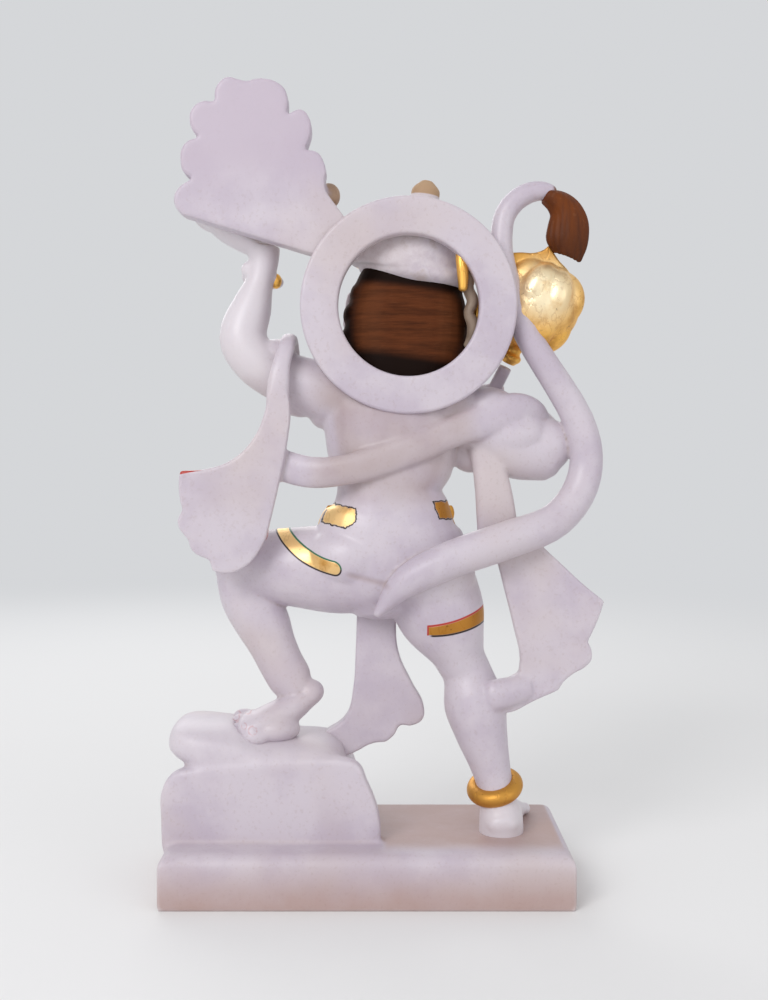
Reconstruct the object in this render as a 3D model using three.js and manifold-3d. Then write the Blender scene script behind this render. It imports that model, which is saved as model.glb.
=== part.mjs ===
// A hanuman figure carved with its plinth from one block of marble.
// Millimetres, +Z up, the figure faces -Y, origin at the centre of the plinth's underside.
import * as THREE from "three";
import { mergeVertices } from "three/addons/utils/BufferGeometryUtils.js";
import Module from "manifold-3d";

// Driving sizes
const figureHeight = 570; // from the plinth's top to the top of the hill
const plinthLength = 305;
const plinthDepth = 148;
const plinthHeight = 40;
const plinthEdge = 10; // rounding of the top edges
const rockOverhang = 3; // the rock stands past the plinth's end
const rockBack = 42; // the sawn back face of the rock
const rockDepth = 98;
const haloRadius = 81.5;
const haloHoleRadius = 53;
const haloThickness = 14;
const haloBack = 32; // the sawn back face of the halo
const haloCentre = [-31, 403]; // X and height above the plinth
const hillBack = 27;
const hillThickness = 20;
const leftFanBack = 37; // the sawn back faces of the sash's flared ends
const rightFanBack = 18;
const fanThickness = 11;
const drapeBack = -12; // the sash end between the legs
const drapeThickness = 16;
const maceHeadRadius = 36;
const maceShaftRadius = 5.5;
const ankletRadius = 15;
const ankletTube = 6.5;
const braceletRadius = 13;
const braceletTube = 4.5;

// The pose is drawn at a figure height of 570, so a list below is in shares of the figure's height
const unit = figureHeight / 570;
const marble = new THREE.MeshStandardMaterial({ color: 0xd6d0da, roughness: 0.35, metalness: 0 });

const wasm = await Module();
wasm.setup();

const vector = (point) => new THREE.Vector3(...point);
const depthAxis = [0, 1, 0];
const heightAxis = [0, 0, 1];

function toSolid(geometry) {
  const bare = new THREE.BufferGeometry();
  bare.setAttribute("position", geometry.getAttribute("position"));
  bare.setIndex(geometry.getIndex());
  const merged = mergeVertices(bare, 1e-3);
  const vertProperties = new Float32Array(merged.getAttribute("position").array);
  const triVerts = new Uint32Array(merged.getIndex().array);
  return new wasm.Manifold(new wasm.Mesh({ numProp: 3, vertProperties, triVerts }));
}

function toGeometry(solid) {
  const { vertProperties, triVerts } = solid.getMesh();
  const geometry = new THREE.BufferGeometry();
  geometry.setAttribute("position", new THREE.BufferAttribute(vertProperties, 3));
  geometry.setIndex(new THREE.BufferAttribute(triVerts, 1));
  return geometry;
}

const join = (solids) => solids.reduce((all, solid) => all.add(solid));

// A bar through round stations [x, y, z, half width, half depth], with flat or domed ends.
// The half depth points along the depth axis, and square above 0 flattens the sides.
function limb(stations, { sides = 10, steps = 1, depth = depthAxis, domes = [0, 0], square = 0 } = {}) {
  const centres = new THREE.CatmullRomCurve3(stations.map((s) => vector(s)), false, "catmullrom");
  const halves = stations.map((s) => new THREE.Vector3(s[3], s[4], 0));
  const sizes = new THREE.CatmullRomCurve3(halves, false, "catmullrom");
  const rings = (stations.length - 1) * steps;
  const power = 1 - square;
  const positions = [];
  const addRing = (t, shift, share) => {
    const along = centres.getTangent(t);
    const deep = vector(depth).addScaledVector(along, -along.dot(vector(depth))).normalize();
    const wide = deep.clone().cross(along);
    const size = sizes.getPoint(t);
    const centre = centres.getPoint(t).addScaledVector(along, shift * Math.min(size.x, size.y));
    for (let i = 0; i < sides; i++) {
      const turn = (2 * Math.PI * i) / sides;
      const [c, s] = [Math.cos(turn), Math.sin(turn)];
      const point = centre.clone();
      point.addScaledVector(wide, size.x * share * Math.sign(c) * Math.abs(c) ** power);
      point.addScaledVector(deep, size.y * share * Math.sign(s) * Math.abs(s) ** power);
      positions.push(...point.multiplyScalar(unit).toArray());
    }
  };
  const addPole = (t, shift) => {
    const size = sizes.getPoint(t);
    const reach = centres.getTangent(t).multiplyScalar(shift * Math.min(size.x, size.y));
    positions.push(...centres.getPoint(t).add(reach).multiplyScalar(unit).toArray());
  };
  addPole(0, -domes[0]);
  if (domes[0] > 0) addRing(0, -0.7 * domes[0], 0.7);
  for (let i = 0; i <= rings; i++) addRing(i / rings, 0, 1);
  if (domes[1] > 0) addRing(1, 0.7 * domes[1], 0.7);
  addPole(1, domes[1]);
  return toSolid(ringsGeometry(positions, sides));
}

// Faces over a pole, rings of equal counts and a second pole
function ringsGeometry(positions, sides) {
  const last = positions.length / 3 - 1;
  const ringCount = (last - 1) / sides;
  const index = [];
  for (let i = 0; i < sides; i++) {
    const next = (i + 1) % sides;
    index.push(0, 1 + next, 1 + i);
    for (let ring = 0; ring < ringCount - 1; ring++) {
      const low = 1 + ring * sides;
      index.push(low + i, low + next, low + sides + next, low + i, low + sides + next, low + sides + i);
    }
    const top = 1 + (ringCount - 1) * sides;
    index.push(top + i, top + next, last);
  }
  const geometry = new THREE.BufferGeometry();
  geometry.setAttribute("position", new THREE.Float32BufferAttribute(positions, 3));
  geometry.setIndex(index);
  return geometry;
}

function ball(centre, radii, { sides = 10, rows = 7, turn = [0, 0, 0] } = {}) {
  const geometry = new THREE.SphereGeometry(1, sides, rows);
  geometry.rotateX(Math.PI / 2);
  geometry.scale(...radii.map((radius) => radius * unit));
  geometry.applyMatrix4(new THREE.Matrix4().makeRotationFromEuler(new THREE.Euler(...turn)));
  geometry.translate(...centre.map((value) => value * unit));
  return toSolid(geometry);
}

function hoop(centre, radius, tube, options = {}) {
  const { turn = [0, 0, 0], stretch = [1, 1, 1], sides = 18, facets = 6 } = options;
  const geometry = new THREE.TorusGeometry(radius, tube, facets, sides);
  geometry.scale(...stretch);
  geometry.applyMatrix4(new THREE.Matrix4().makeRotationFromEuler(new THREE.Euler(...turn)));
  geometry.translate(...centre.map((value) => value * unit));
  return toSolid(geometry);
}

// A slab standing in the XZ plane. Each run of the outline is one smooth stretch between two corners.
function slab(start, runs, back, thickness, { edge = 3, curve = 1 } = {}) {
  const point = ([x, z]) => new THREE.Vector2(x * unit, z * unit);
  const shape = new THREE.Shape();
  shape.moveTo(start[0] * unit, start[1] * unit);
  for (const run of runs) {
    if (run.length === 1) shape.lineTo(run[0][0] * unit, run[0][1] * unit);
    else shape.splineThru(run.map(point));
  }
  const rim = edge * unit;
  const geometry = new THREE.ExtrudeGeometry(shape, {
    depth: thickness - 2 * rim, curveSegments: curve, bevelEnabled: true, bevelThickness: rim,
    bevelSize: rim, bevelOffset: -rim, bevelSegments: 1,
  });
  geometry.rotateX(Math.PI / 2);
  geometry.translate(0, back - rim, 0);
  return toSolid(geometry);
}

// Plinth with rounded top edges and a flat underside
function makePlinth() {
  const [x, y, corner] = [plinthLength / 2, plinthDepth / 2, plinthEdge];
  const shape = new THREE.Shape();
  shape.moveTo(-x + corner, -y);
  shape.lineTo(x - corner, -y);
  shape.absarc(x - corner, -y + corner, corner, -Math.PI / 2, 0);
  shape.absarc(x - corner, y - corner, corner, 0, Math.PI / 2);
  shape.absarc(-x + corner, y - corner, corner, Math.PI / 2, Math.PI);
  shape.absarc(-x + corner, -y + corner, corner, Math.PI, 1.5 * Math.PI);
  const block = new THREE.ExtrudeGeometry(shape, {
    depth: plinthHeight, curveSegments: 4, bevelEnabled: true, bevelThickness: plinthEdge,
    bevelSize: plinthEdge * 0.95, bevelOffset: -plinthEdge * 0.95, bevelSegments: 3,
  });
  block.translate(0, 0, -plinthEdge);
  const below = new THREE.BoxGeometry(2 * plinthLength, 2 * plinthDepth, plinthHeight);
  below.translate(0, 0, -plinthHeight / 2);
  return toSolid(block).subtract(toSolid(below));
}

// Rock of two lobes under the left foot
function makeRock() {
  const end = (plinthLength / 2 + rockOverhang) / unit;
  const lower = slab([-10, -8], [
    [[end - 1, -8]], [[end, 20], [end - 1, 38], [end - 10, 54], [end - 23, 58]], [[20, 62]],
    [[12, 58], [4, 38], [-5, 16], [-10, -8]],
  ], rockBack, rockDepth, { edge: 5, curve: 2 });
  const middle = (rockBack - rockDepth / 2) / unit;
  const half = (rockDepth / 2 - 2) / unit;
  const upper = limb([
    [18, middle, 55, 11, half - 4], [30, middle, 56, 17, half], [58, middle, 55, 19, half],
    [86, middle, 56, 19, half], [102, middle, 62, 20.5, half], [120, middle, 66, 20, half],
    [136, middle, 68, 16.5, half - 2], [145, middle, 69, 11, half - 8],
  ], { sides: 12, square: 0.4, domes: [0.5, 0.5] });
  return [lower, upper];
}

function makeToes(toes, length) {
  return toes.map(([x, y, z, radius, turn]) =>
    ball([x, y, z], [length * radius, radius, radius], { sides: 6, rows: 4, turn: [0, 0, turn] }));
}

function makeRightLeg() {
  const leg = limb([
    [-47, -2, 192, 37, 34], [-59, -2, 163, 33.5, 32], [-68, -3, 142, 24, 27], [-72, -3, 132, 20, 24],
    [-78, -2, 119, 19.5, 21], [-83, 3, 98, 24, 23], [-88, 5, 76, 20.5, 20], [-95, 6, 50, 15.5, 16],
    [-100, 8, 28, 14, 15], [-103, 10, 8, 17, 18],
  ]);
  const foot = limb([
    [-103, 24, 8, 12, 9], [-103, 10, 11, 17, 14], [-104, -8, 11, 15, 13], [-106, -26, 7, 17, 10],
    [-107, -42, 4, 17, 7],
  ], { depth: heightAxis, domes: [0.6, 0] });
  const turn = -Math.PI / 2;
  const toes = makeToes([
    [-94, -48, 5, 6.5, turn], [-102, -50, 4, 5, turn], [-109, -49, 4, 4.6, turn],
    [-115, -46, 4, 4.3, turn], [-121, -41, 4, 4, turn],
  ], 1.8);
  const anklet = hoop([-99, 6, 33], ankletRadius, ankletTube, {
    turn: [0.22, 0.2, 0], stretch: [1, 1.05, 1], sides: 12, facets: 5 });
  return [leg, foot, ...toes, anklet];
}

function makeLeftLeg() {
  const thigh = limb([
    [-6, -4, 204, 35, 33], [23, -6, 202, 35, 32], [52, -9, 203, 32, 30], [81, -12, 204, 28, 27],
    [102, -15, 205, 21, 24],
  ], { domes: [0, 0.9] });
  const shin = limb([
    [104, -16, 200, 17, 20], [94, -14, 180, 21.5, 21], [81, -12, 159, 22, 20], [70, -9, 140, 18, 17],
    [63, -6, 124, 15, 14], [54, -2, 108, 14.5, 13],
  ]);
  const foot = limb([
    [41, 2, 109, 9, 12], [55, 2, 98, 14, 14], [68, 4, 88, 15, 17], [82, 6, 83, 12, 20], [94, 7, 81, 9, 20],
  ], { domes: [0.9, 0.4] });
  const toes = makeToes([
    [104, -11, 82, 7, 0], [103, 0, 81, 5.4, 0], [100, 9, 80, 5.2, 0], [96, 17, 79, 5, 0.1],
    [90, 25, 77, 4.8, 0.2],
  ], 1.8);
  return [thigh, shin, foot, ...toes];
}

function makeTorso() {
  const trunk = limb([
    [-30, -4, 185, 50, 34], [-21, -4, 208, 64, 37], [-16, -3, 234, 57, 35], [-17, -3, 250, 45, 31],
    [-17, -3, 264, 41.5, 30], [-17, -3, 285, 46, 31], [-18, -3, 304, 51, 33], [-20, -3, 326, 57, 31],
    [-25, -5, 344, 45, 26], [-29, -10, 358, 25, 20], [-31, -14, 372, 20, 19],
  ], { sides: 14, square: 0.12 });
  const round = { sides: 8, rows: 6 };
  const breasts = [ball([7, -22, 320], [25, 15, 19], round), ball([-42, -22, 318], [25, 15, 19], round)];
  const belt = hoop([-16, -4, 246], 40, 4.5, {
    turn: [0.12, 0, 0], stretch: [1.07, 0.82, 1.2], sides: 14, facets: 5 });
  const cutAway = new THREE.BoxGeometry(160 * unit, 60 * unit, 60 * unit);
  cutAway.translate(-16 * unit, 26 * unit, 246 * unit);
  const buckle = ball([-16, -42, 242], [12, 6, 10], { sides: 8, rows: 4 });
  const necklace = hoop([-28, -16, 343], 27, 4, {
    turn: [0.5, 0.05, 0], stretch: [1.1, 0.95, 1], facets: 5 });
  return [trunk, ...breasts, belt.subtract(toSolid(cutAway)), buckle, necklace];
}

// The sash end between the legs hangs from the belt's buckle
function makeDrape() {
  const strip = limb([
    [-16, -38, 246, 11, 5], [-13, -41, 222, 12, 7], [-8, -36, 196, 15, 9], [-7, -24, 165, 15, 9],
  ], { sides: 8, square: 0.3 });
  const end = slab([-22, 180], [
    [[9, 180]], [[10, 135], [12, 106], [18, 84], [34, 72]], [[24, 50]], [[10, 56], [-4, 63], [-14, 64]],
    [[-21, 70], [-25, 77], [-34, 77], [-43, 82], [-44, 92], [-35, 110], [-24, 135], [-22, 180]],
  ], drapeBack, drapeThickness, { edge: 4 });
  return [strip, end];
}

function makeLeftArm() {
  const arm = limb([
    [14, -2, 334, 25, 24], [44, -2, 342, 23.5, 23], [69, -2, 349, 22, 21], [89, -2, 361, 20.5, 20],
    [97, -2, 380, 19, 20], [91, -4, 404, 17, 16], [86, -6, 424, 13, 13], [80, -7, 440, 11.5, 12],
    [80, -8, 452, 12, 14],
  ]);
  const palm = limb([
    [80, -8, 446, 10, 14], [90, -10, 456, 12, 19], [104, -12, 464, 9, 22], [118, -13, 472, 7, 21],
  ]);
  const fingers = [0, 1, 2, 3].map((i) => limb([
    [112, -27 + 9 * i, 470, 5.5, 5], [125, -29 + 9.5 * i, 477, 5, 4.6], [134, -30 + 10 * i, 491, 4, 4],
  ], { sides: 6, domes: [0, 0.7] }));
  const thumb = limb([
    [86, -20, 452, 6.5, 6.5], [79, -32, 465, 6, 6], [80, -37, 484, 4.4, 4.4],
  ], { sides: 6, domes: [0, 0.7] });
  const bracelet = hoop([80, -7, 427], braceletRadius, braceletTube, { turn: [0, -0.22, 0], sides: 12 });
  return [arm, palm, ...fingers, thumb, bracelet];
}

function makeRightArm() {
  const upper = limb([
    [-60, -4, 328, 27, 25], [-88, -3, 316, 26, 23], [-113, -2, 298, 25, 21], [-134, -4, 291, 21, 20],
  ], { domes: [0, 0.9] });
  const lower = limb([
    [-137, -6, 291, 19, 18], [-136, -16, 306, 17, 16], [-126, -26, 320, 14, 13], [-112, -32, 329, 11, 11],
    [-104, -34, 332, 11, 12],
  ], { domes: [0.6, 0] });
  const fist = ball([-99, -33, 333], [15, 13, 15], { sides: 8, rows: 6 });
  const fingers = [0, 1, 2, 3].map((i) => limb([
    [-110 + i, -44, 322 + 7.4 * i, 4.4, 4.4], [-100 + i, -48, 321 + 7.4 * i, 4.6, 4.6],
    [-89 + i, -38, 320 + 7.4 * i, 4, 4],
  ], { sides: 6, depth: heightAxis }));
  return [upper, lower, fist, ...fingers];
}

// The mace leans from the fist to its lobed head behind the tail
function makeMace() {
  const head = [-132, -12, 410];
  const foot = [-91, -36, 308];
  const lean = new THREE.Quaternion().setFromUnitVectors(
    new THREE.Vector3(0, 1, 0), vector(head).sub(vector(foot)).normalize());
  const length = vector(head).distanceTo(vector(foot)) * unit;
  const neck = length - maceHeadRadius - 14;
  const profile = [
    [0, 0], [maceShaftRadius + 3, 1], [maceShaftRadius + 4, 6], [maceShaftRadius, 11],
    [maceShaftRadius, neck], [maceShaftRadius + 5, neck + 1], [maceShaftRadius + 6, neck + 6],
    [maceShaftRadius + 3, neck + 11], [maceShaftRadius + 8, neck + 18], [0, neck + 24],
  ];
  const shaft = new THREE.LatheGeometry(profile.map(([r, h]) => new THREE.Vector2(r, h)), 10);
  shaft.applyQuaternion(lean);
  shaft.translate(...foot.map((value) => value * unit));
  const globe = new THREE.SphereGeometry(maceHeadRadius, 20, 7);
  const places = globe.getAttribute("position");
  for (let i = 0; i < places.count; i++) {
    const [x, y, z] = [places.getX(i), places.getY(i), places.getZ(i)];
    const swell = 1 + 0.035 * Math.cos(10 * Math.atan2(z, x)) * (Math.hypot(x, z) / maceHeadRadius);
    places.setXYZ(i, x * swell, y, z * swell);
  }
  globe.applyQuaternion(lean);
  globe.translate(...head.map((value) => value * unit));
  const outline = [[[-104, 447]], [[-140, 450]], [[-150, 420]]];
  const web = slab([-104, 428], outline, 8 * unit, 12 * unit, { edge: 2 });
  return [toSolid(shaft), toSolid(globe), web];
}

// The hill with its scalloped edge, flat at the back and lobed in front, and its strut to the halo
function makeHill() {
  const onHalo = (degrees) => {
    const reach = haloRadius / unit - 5;
    const angle = THREE.MathUtils.degToRad(degrees);
    return [haloCentre[0] + reach * Math.cos(angle), haloCentre[1] + reach * Math.sin(angle)];
  };
  const body = slab(onHalo(29), [
    [[132, 469]], [[145, 478], [143, 489], [131, 498]], [[139, 508], [138, 522], [125, 528]],
    [[133, 543], [127, 554], [114, 555]], [[113, 566], [103, 574], [90, 570]],
    [[76, 572], [61, 565], [60, 544]], [[49, 549], [42, 534], [48, 518]],
    [[37, 517], [32, 504], [31, 488]], [onHalo(54)],
  ], hillBack, hillThickness, { edge: 4, curve: 2 });
  const front = hillBack - hillThickness;
  const lobes = [
    [116, 489, 20, 15], [84, 483, 22, 15], [54, 488, 18, 17], [112, 517, 19, 15], [78, 513, 24, 17],
    [106, 543, 17, 13], [72, 543, 20, 16], [88, 562, 20, 9],
  ].map(([x, z, width, height]) => ball([x, front / unit, z], [width, 14, height], { sides: 7, rows: 4 }));
  return [body, ...lobes];
}

function makeHalo() {
  const edge = haloThickness / 5;
  const [outer, inner, front] = [haloRadius, haloHoleRadius, haloBack - haloThickness];
  const profile = [
    [inner, front], [outer, front], [outer, haloBack - edge], [outer - edge, haloBack],
    [inner + edge, haloBack], [inner, haloBack - edge], [inner, front],
  ];
  const ring = new THREE.LatheGeometry(profile.map(([r, y]) => new THREE.Vector2(r, y)), 36);
  ring.translate(haloCentre[0] * unit, 0, haloCentre[1] * unit);
  return [toSolid(ring)];
}

// Head, crown and ear ornaments in their own frame, tilted to the figure's right
function makeHead() {
  const hair = ball([0, 2, -4], [47, 36, 42], { sides: 14, rows: 8 });
  const face = ball([0, -14, -6], [37, 36, 38], { sides: 12, rows: 7 });
  const muzzle = ball([0, -44, -17], [21, 17, 15], { sides: 8, rows: 6 });
  const nose = ball([0, -56, -8], [8, 6, 5], { sides: 6, rows: 4 });
  const sided = [-1, 1].flatMap((side) => [
    ball([side * 16, -43, 10], [12, 8, 4.5], { sides: 6, rows: 4, turn: [0, side * 0.15, 0] }),
    ball([side * 15, -44, 2], [8, 6, 5], { sides: 6, rows: 4 }),
    ball([side * 42, -8, 2], [7, 11, 14], { sides: 6, rows: 4 }),
    ball([side * 46, -8, -21], [6, 10, 10], { sides: 6, rows: 4 }),
  ]);
  const tiers = [
    [0, 28], [44, 32], [45, 41], [42, 43], [42, 56], [36, 60], [33, 73], [24, 78], [20, 90], [12, 95],
    [11, 104], [0, 111],
  ];
  const crown = new THREE.LatheGeometry(tiers.map(([r, z]) => new THREE.Vector2(r * unit, z * unit)), 12);
  crown.rotateX(Math.PI / 2);
  crown.scale(0.98, 0.9, 1);
  const outline = [[[14, 32]], [[16, 50], [0, 80]], [[-16, 50], [-14, 32]]];
  const leaf = slab([-14, 32], outline, -34 * unit, 10 * unit, { edge: 2 });
  const parts = [hair, face, muzzle, nose, ...sided, toSolid(crown), leaf];
  const head = toGeometry(join(parts));
  head.rotateY(-0.14);
  head.translate(-31 * unit, -20 * unit, 396 * unit);
  return [toSolid(head)];
}

function makeTail() {
  const tail = limb([
    [-8, 33, 172, 4, 6], [-28, 38, 195, 11.5, 11], [-58, 38, 211, 14, 13], [-102, 32, 226, 14.5, 13],
    [-144, 20, 242, 13.5, 12.5], [-166, 12, 275, 13, 12], [-161, 10, 318, 12, 11.5],
    [-121, 9, 385, 10.2, 10], [-104, 9, 436, 9, 9.5], [-104, 8, 473, 8, 8.5], [-122, 7, 492, 7.6, 8],
    [-142, 5, 490, 8, 8],
  ], { sides: 8, steps: 2, domes: [0.8, 0] });
  const locks = [-1, 0, 1].map((i) => limb([
    [-140, 5 + 2 * i, 491, 7, 6], [-151 - 2 * i, 4 + 4 * i, 483, 8, 7],
    [-155 - 5 * i, 2 + 5 * i, 468, 8.5, 8], [-155 - 5 * i, 1 + 4 * i, 454, 7.5, 7],
    [-158 - 3 * i, 2 * i, 441, 4.5, 4],
  ], { sides: 6, domes: [0, 0.7] }));
  return [tail, ...locks];
}

// The sash runs over both arms and across the back, and flares into a fan at either side
function makeSash() {
  const leftCrook = limb([
    [60, -24, 346, 9, 5], [60, -20, 364, 9, 5], [60, 0, 375, 9, 6], [61, 20, 368, 9, 6],
    [64, 30, 343, 11, 5.5], [67, 31, 315, 12, 5.5], [72, 31, 285, 14, 5.5],
  ], { sides: 8, square: 0.2 });
  const leftFan = slab([62, 352], [
    [[72, 341], [76, 325], [84, 305], [100, 288], [122, 280], [140, 279]], [[140, 256]], [[138, 250]],
    [[142, 240], [134, 227]], [[131, 219], [118, 212]], [[116, 204]], [[100, 203], [86, 212], [76, 228]],
    [[66, 270], [60, 300], [58, 335], [62, 352]],
  ], leftFanBack, fanThickness);
  const across = limb([
    [72, 31, 284, 14, 6], [45, 32, 278, 12, 6.5], [20, 30, 279, 11.5, 7], [-5, 28, 285, 12, 7],
    [-35, 26, 296, 12.5, 7], [-65, 21, 308, 11.5, 8], [-91, 17, 318, 14, 8], [-116, 13, 325, 15, 9],
    [-133, 0, 322, 13, 9], [-134, -16, 312, 12, 6],
  ], { sides: 8, square: 0.15, domes: [0, 0.6] });
  const rightFall = limb([
    [-82, 6, 312, 8, 8], [-90, 8, 290, 11, 7], [-96, 10, 265, 14, 6.5], [-101, 12, 240, 16, 6],
  ], { sides: 8, square: 0.15 });
  const rightFan = slab([-84, 250], [
    [[-97, 215], [-105, 187], [-112, 159], [-117, 135], [-116, 124]], [[-101, 116], [-86, 112]],
    [[-88, 97]], [[-106, 93], [-129, 103], [-149, 113], [-164, 124]], [[-172, 143]], [[-169, 149]],
    [[-177, 165], [-181, 179]], [[-165, 192], [-151, 205], [-133, 222], [-117, 238], [-114, 250]],
  ], rightFanBack, fanThickness);
  return [leftCrook, leftFan, across, rightFall, rightFan];
}

function makeStatue() {
  const figure = join([
    ...makeRock(), ...makeRightLeg(), ...makeLeftLeg(), ...makeTorso(), ...makeDrape(), ...makeLeftArm(),
    ...makeRightArm(), ...makeMace(), ...makeHill(), ...makeHalo(), ...makeHead(), ...makeTail(),
    ...makeSash(),
  ]);
  const statue = makePlinth().add(figure.translate([0, 0, plinthHeight]));
  const mesh = new THREE.Mesh(toGeometry(statue), marble);
  mesh.name = "hanuman_statue";
  return mesh;
}

const part = new THREE.Group();
part.add(makeStatue());
export default part;
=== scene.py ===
"""A carved, painted and gilded marble figure on its plinth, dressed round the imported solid.

Sizes in the lists are millimetres in the figure's own frame: +X is the figure's left, it faces -Y,
and heights start at the top of the plinth. Everything in the scene is in metres.
"""
import math

import bmesh
import bpy
import numpy as np
from mathutils import Matrix, Vector


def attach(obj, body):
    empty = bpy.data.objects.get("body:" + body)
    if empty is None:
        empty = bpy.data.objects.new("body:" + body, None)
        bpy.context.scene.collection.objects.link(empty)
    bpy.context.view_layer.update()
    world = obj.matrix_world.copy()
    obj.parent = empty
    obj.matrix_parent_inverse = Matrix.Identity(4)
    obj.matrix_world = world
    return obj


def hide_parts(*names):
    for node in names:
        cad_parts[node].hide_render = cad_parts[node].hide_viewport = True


bl_info = {
    "name": "Carved Marble Statue",
    "version": (1, 0, 0),
    "blender": (4, 5, 0),
    "location": "3D View > Sidebar > Statue",
    "description": "Builds a carved, painted and gilded marble figure on its plinth",
    "category": "Add Mesh",
}

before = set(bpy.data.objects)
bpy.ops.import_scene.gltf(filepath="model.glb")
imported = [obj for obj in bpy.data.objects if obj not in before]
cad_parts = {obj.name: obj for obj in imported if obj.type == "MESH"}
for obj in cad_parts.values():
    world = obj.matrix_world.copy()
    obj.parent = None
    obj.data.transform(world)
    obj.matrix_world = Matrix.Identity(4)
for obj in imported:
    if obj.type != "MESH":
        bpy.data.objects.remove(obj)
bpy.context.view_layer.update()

STONE_NODE = "hanuman_statue"
DRAWN_HEIGHT = 570  # the lists below are drawn for a figure this high
MM_PER_METRE = 1000
FACES = {  # triangles that each fused piece is thinned to
    "marble_rock": 60000, "marble_base": 100000, "marble_figure": 198000, "marble_hill": 60000,
    "marble_face": 90000, "marble_head": 120000, "brown_hair": 60000, "taupe_lock": 12000,
    "brown_tuft": 60000, "gilt_mace": 90000, "gilt_jewels": 90000}
HALO_CENTRE = (-31, 0, 403)
FLAT_BELOW = 0.0009  # everything lower than this is rubbed level with the ground
CAMERA_PLACE = (-0.0125, 0.972, 0.327)
SENSOR_WIDTH = 36
PHOTO_HEIGHT, HORIZON, FOCAL = 1000, 460, 1254  # rows of the photo, its horizon and its focal length
AIR, ROOM = (0.90, 0.915, 0.94), 0.74  # colour and strength of the room's light
BLACK = (0, 0, 0)


def tint(red, green, blue):
    """A paint colour from its usual 0 to 255 numbers, made linear."""
    def linear(value):
        """One channel, from 0 to 255 to its linear share."""
        share = value / 255
        return share / 12.92 if share <= 0.04045 else ((share + 0.055) / 1.055) ** 2.4

    return (linear(red), linear(green), linear(blue))


# ---- Sizes and colours that a user would change

def length(name, description, default):
    """A size in metres."""
    return bpy.props.FloatProperty(
        name=name, description=description, default=default, min=0.0001, unit="LENGTH")


def colour(name, description, default):
    """A colour with its swatch."""
    return bpy.props.FloatVectorProperty(
        name=name, description=description, default=default, subtype="COLOR", min=0, max=1)


class StatueSizes(bpy.types.PropertyGroup):
    """Real sizes of the statue"""
    figure_height: length("Figure height", "From the plinth's top to the top of the hill", 0.570)
    plinth_length: length("Plinth length", "Along the statue's width", 0.305)
    plinth_depth: length("Plinth depth", "From front to back", 0.148)
    plinth_height: length("Plinth height", "Thickness of the plinth", 0.040)
    plinth_edge: length("Plinth edge", "Rounding of the plinth's edges", 0.010)
    halo_radius: length("Halo radius", "Outside radius of the halo", 0.0815)
    halo_hole: length("Halo hole radius", "Inside radius of the halo", 0.053)
    halo_thickness: length("Halo thickness", "From its front to its sawn back", 0.014)
    halo_edge: length("Halo edge", "Rounding of the halo's rims", 0.0028)
    halo_back: length("Halo back", "How far the sawn back lies behind the statue's middle", 0.032)
    mace_radius: length("Mace head radius", "Radius of the lobed mace head", 0.036)
    anklet_radius: length("Anklet radius", "To the middle of its tube", 0.0155)
    anklet_tube: length("Anklet tube", "Radius of the anklet's tube", 0.0066)
    grain: length("Carving grain", "Size of the smallest carved detail", 0.0013)


class StatueFinishes(bpy.types.PropertyGroup):
    """Colours of the stone, the leaf and the paints"""
    marble: colour("Marble", "Polished white stone", tint(203, 193, 201))
    marble_vein: colour("Marble cloud", "Clouds in the stone", tint(190, 178, 190))
    marble_warm: colour("Marble warm", "Warm patches in the stone", tint(200, 186, 184))
    # Painted shade on the hill's top
    marble_grey: colour("Marble grey", "Greyer stone of the hill", tint(188, 174, 187))
    # Paler stone: painted highlight on rims, lit parts and the rock's top, and chalky patches on the
    # crown
    marble_rim: colour("Marble rim", "Paler stone on worn rims", tint(220, 213, 216))
    # Dust on the stone, and painted shade in creases, under the halo and along a fold
    dust: colour("Dust", "Dust in the creases", tint(150, 120, 102))
    plinth_dust: colour("Plinth dust", "Brown film on the plinth", tint(178, 152, 146))
    gold: colour("Gold leaf", "Burnished leaf", tint(246, 190, 92))
    # Also painted highlight on the gilding and the mace head
    gold_pale: colour("Pale leaf", "Leaf where it is rubbed bright", tint(255, 240, 204))
    # Also painted shade on the gilding's darker side
    gold_worn: colour("Worn leaf", "Leaf that has darkened", tint(150, 84, 18))
    hair: colour("Hair", "Brown paint of the hair", tint(94, 50, 27))
    hair_dark: colour("Dark hair", "Shadowed strokes of the hair", tint(24, 13, 9))
    hair_light: colour("Light hair", "Sheen of the hair", tint(126, 78, 48))
    tuft: colour("Tuft", "Brown paint of the tail's end", tint(109, 55, 20))
    taupe: colour("Taupe", "Grey brown paint by the ear", tint(146, 127, 110))
    ochre: colour("Ochre", "Paint on the front of the hill", tint(176, 144, 112))
    red: colour("Red line", "Border lines and nails", tint(176, 52, 40))
    green: colour("Green line", "Border lines", tint(24, 100, 66))
    dark: colour("Dark line", "Outlines of the gilding", tint(34, 20, 14))
    tuft_dark: colour("Dark tuft", "Shadowed strands of the tuft", tint(84, 44, 26))
    tuft_speck: colour("Tuft speck", "Rubbed specks on the strands", tint(150, 104, 76))
    taupe_dark: colour("Dark taupe", "Brushed patches of the taupe", tint(104, 86, 72))
    ochre_dark: colour("Dark ochre", "Brushed patches of the ochre", tint(142, 108, 78))
    # Painted shade in the hollows between the lobes
    ochre_hollow: colour("Ochre hollow", "Paint between the lobes", tint(84, 60, 42))
    lips: colour("Lips", "Line of the mouth", tint(120, 52, 46))
    eye_white: colour("Eye white", "White of the eyes", tint(222, 214, 208))
    iris: colour("Iris", "Brown of the eyes", tint(88, 50, 28))
    pupil: colour("Pupil", "Middle of the eyes", tint(16, 12, 12))
    floor: colour("Floor", "Plain pale floor", tint(234, 233, 232))
    floor_cloud: colour("Floor cloud", "Faint clouds on the floor", tint(214, 213, 211))


def sizes():
    """The sizes that the scene holds."""
    return bpy.context.scene.statue_sizes


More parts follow.
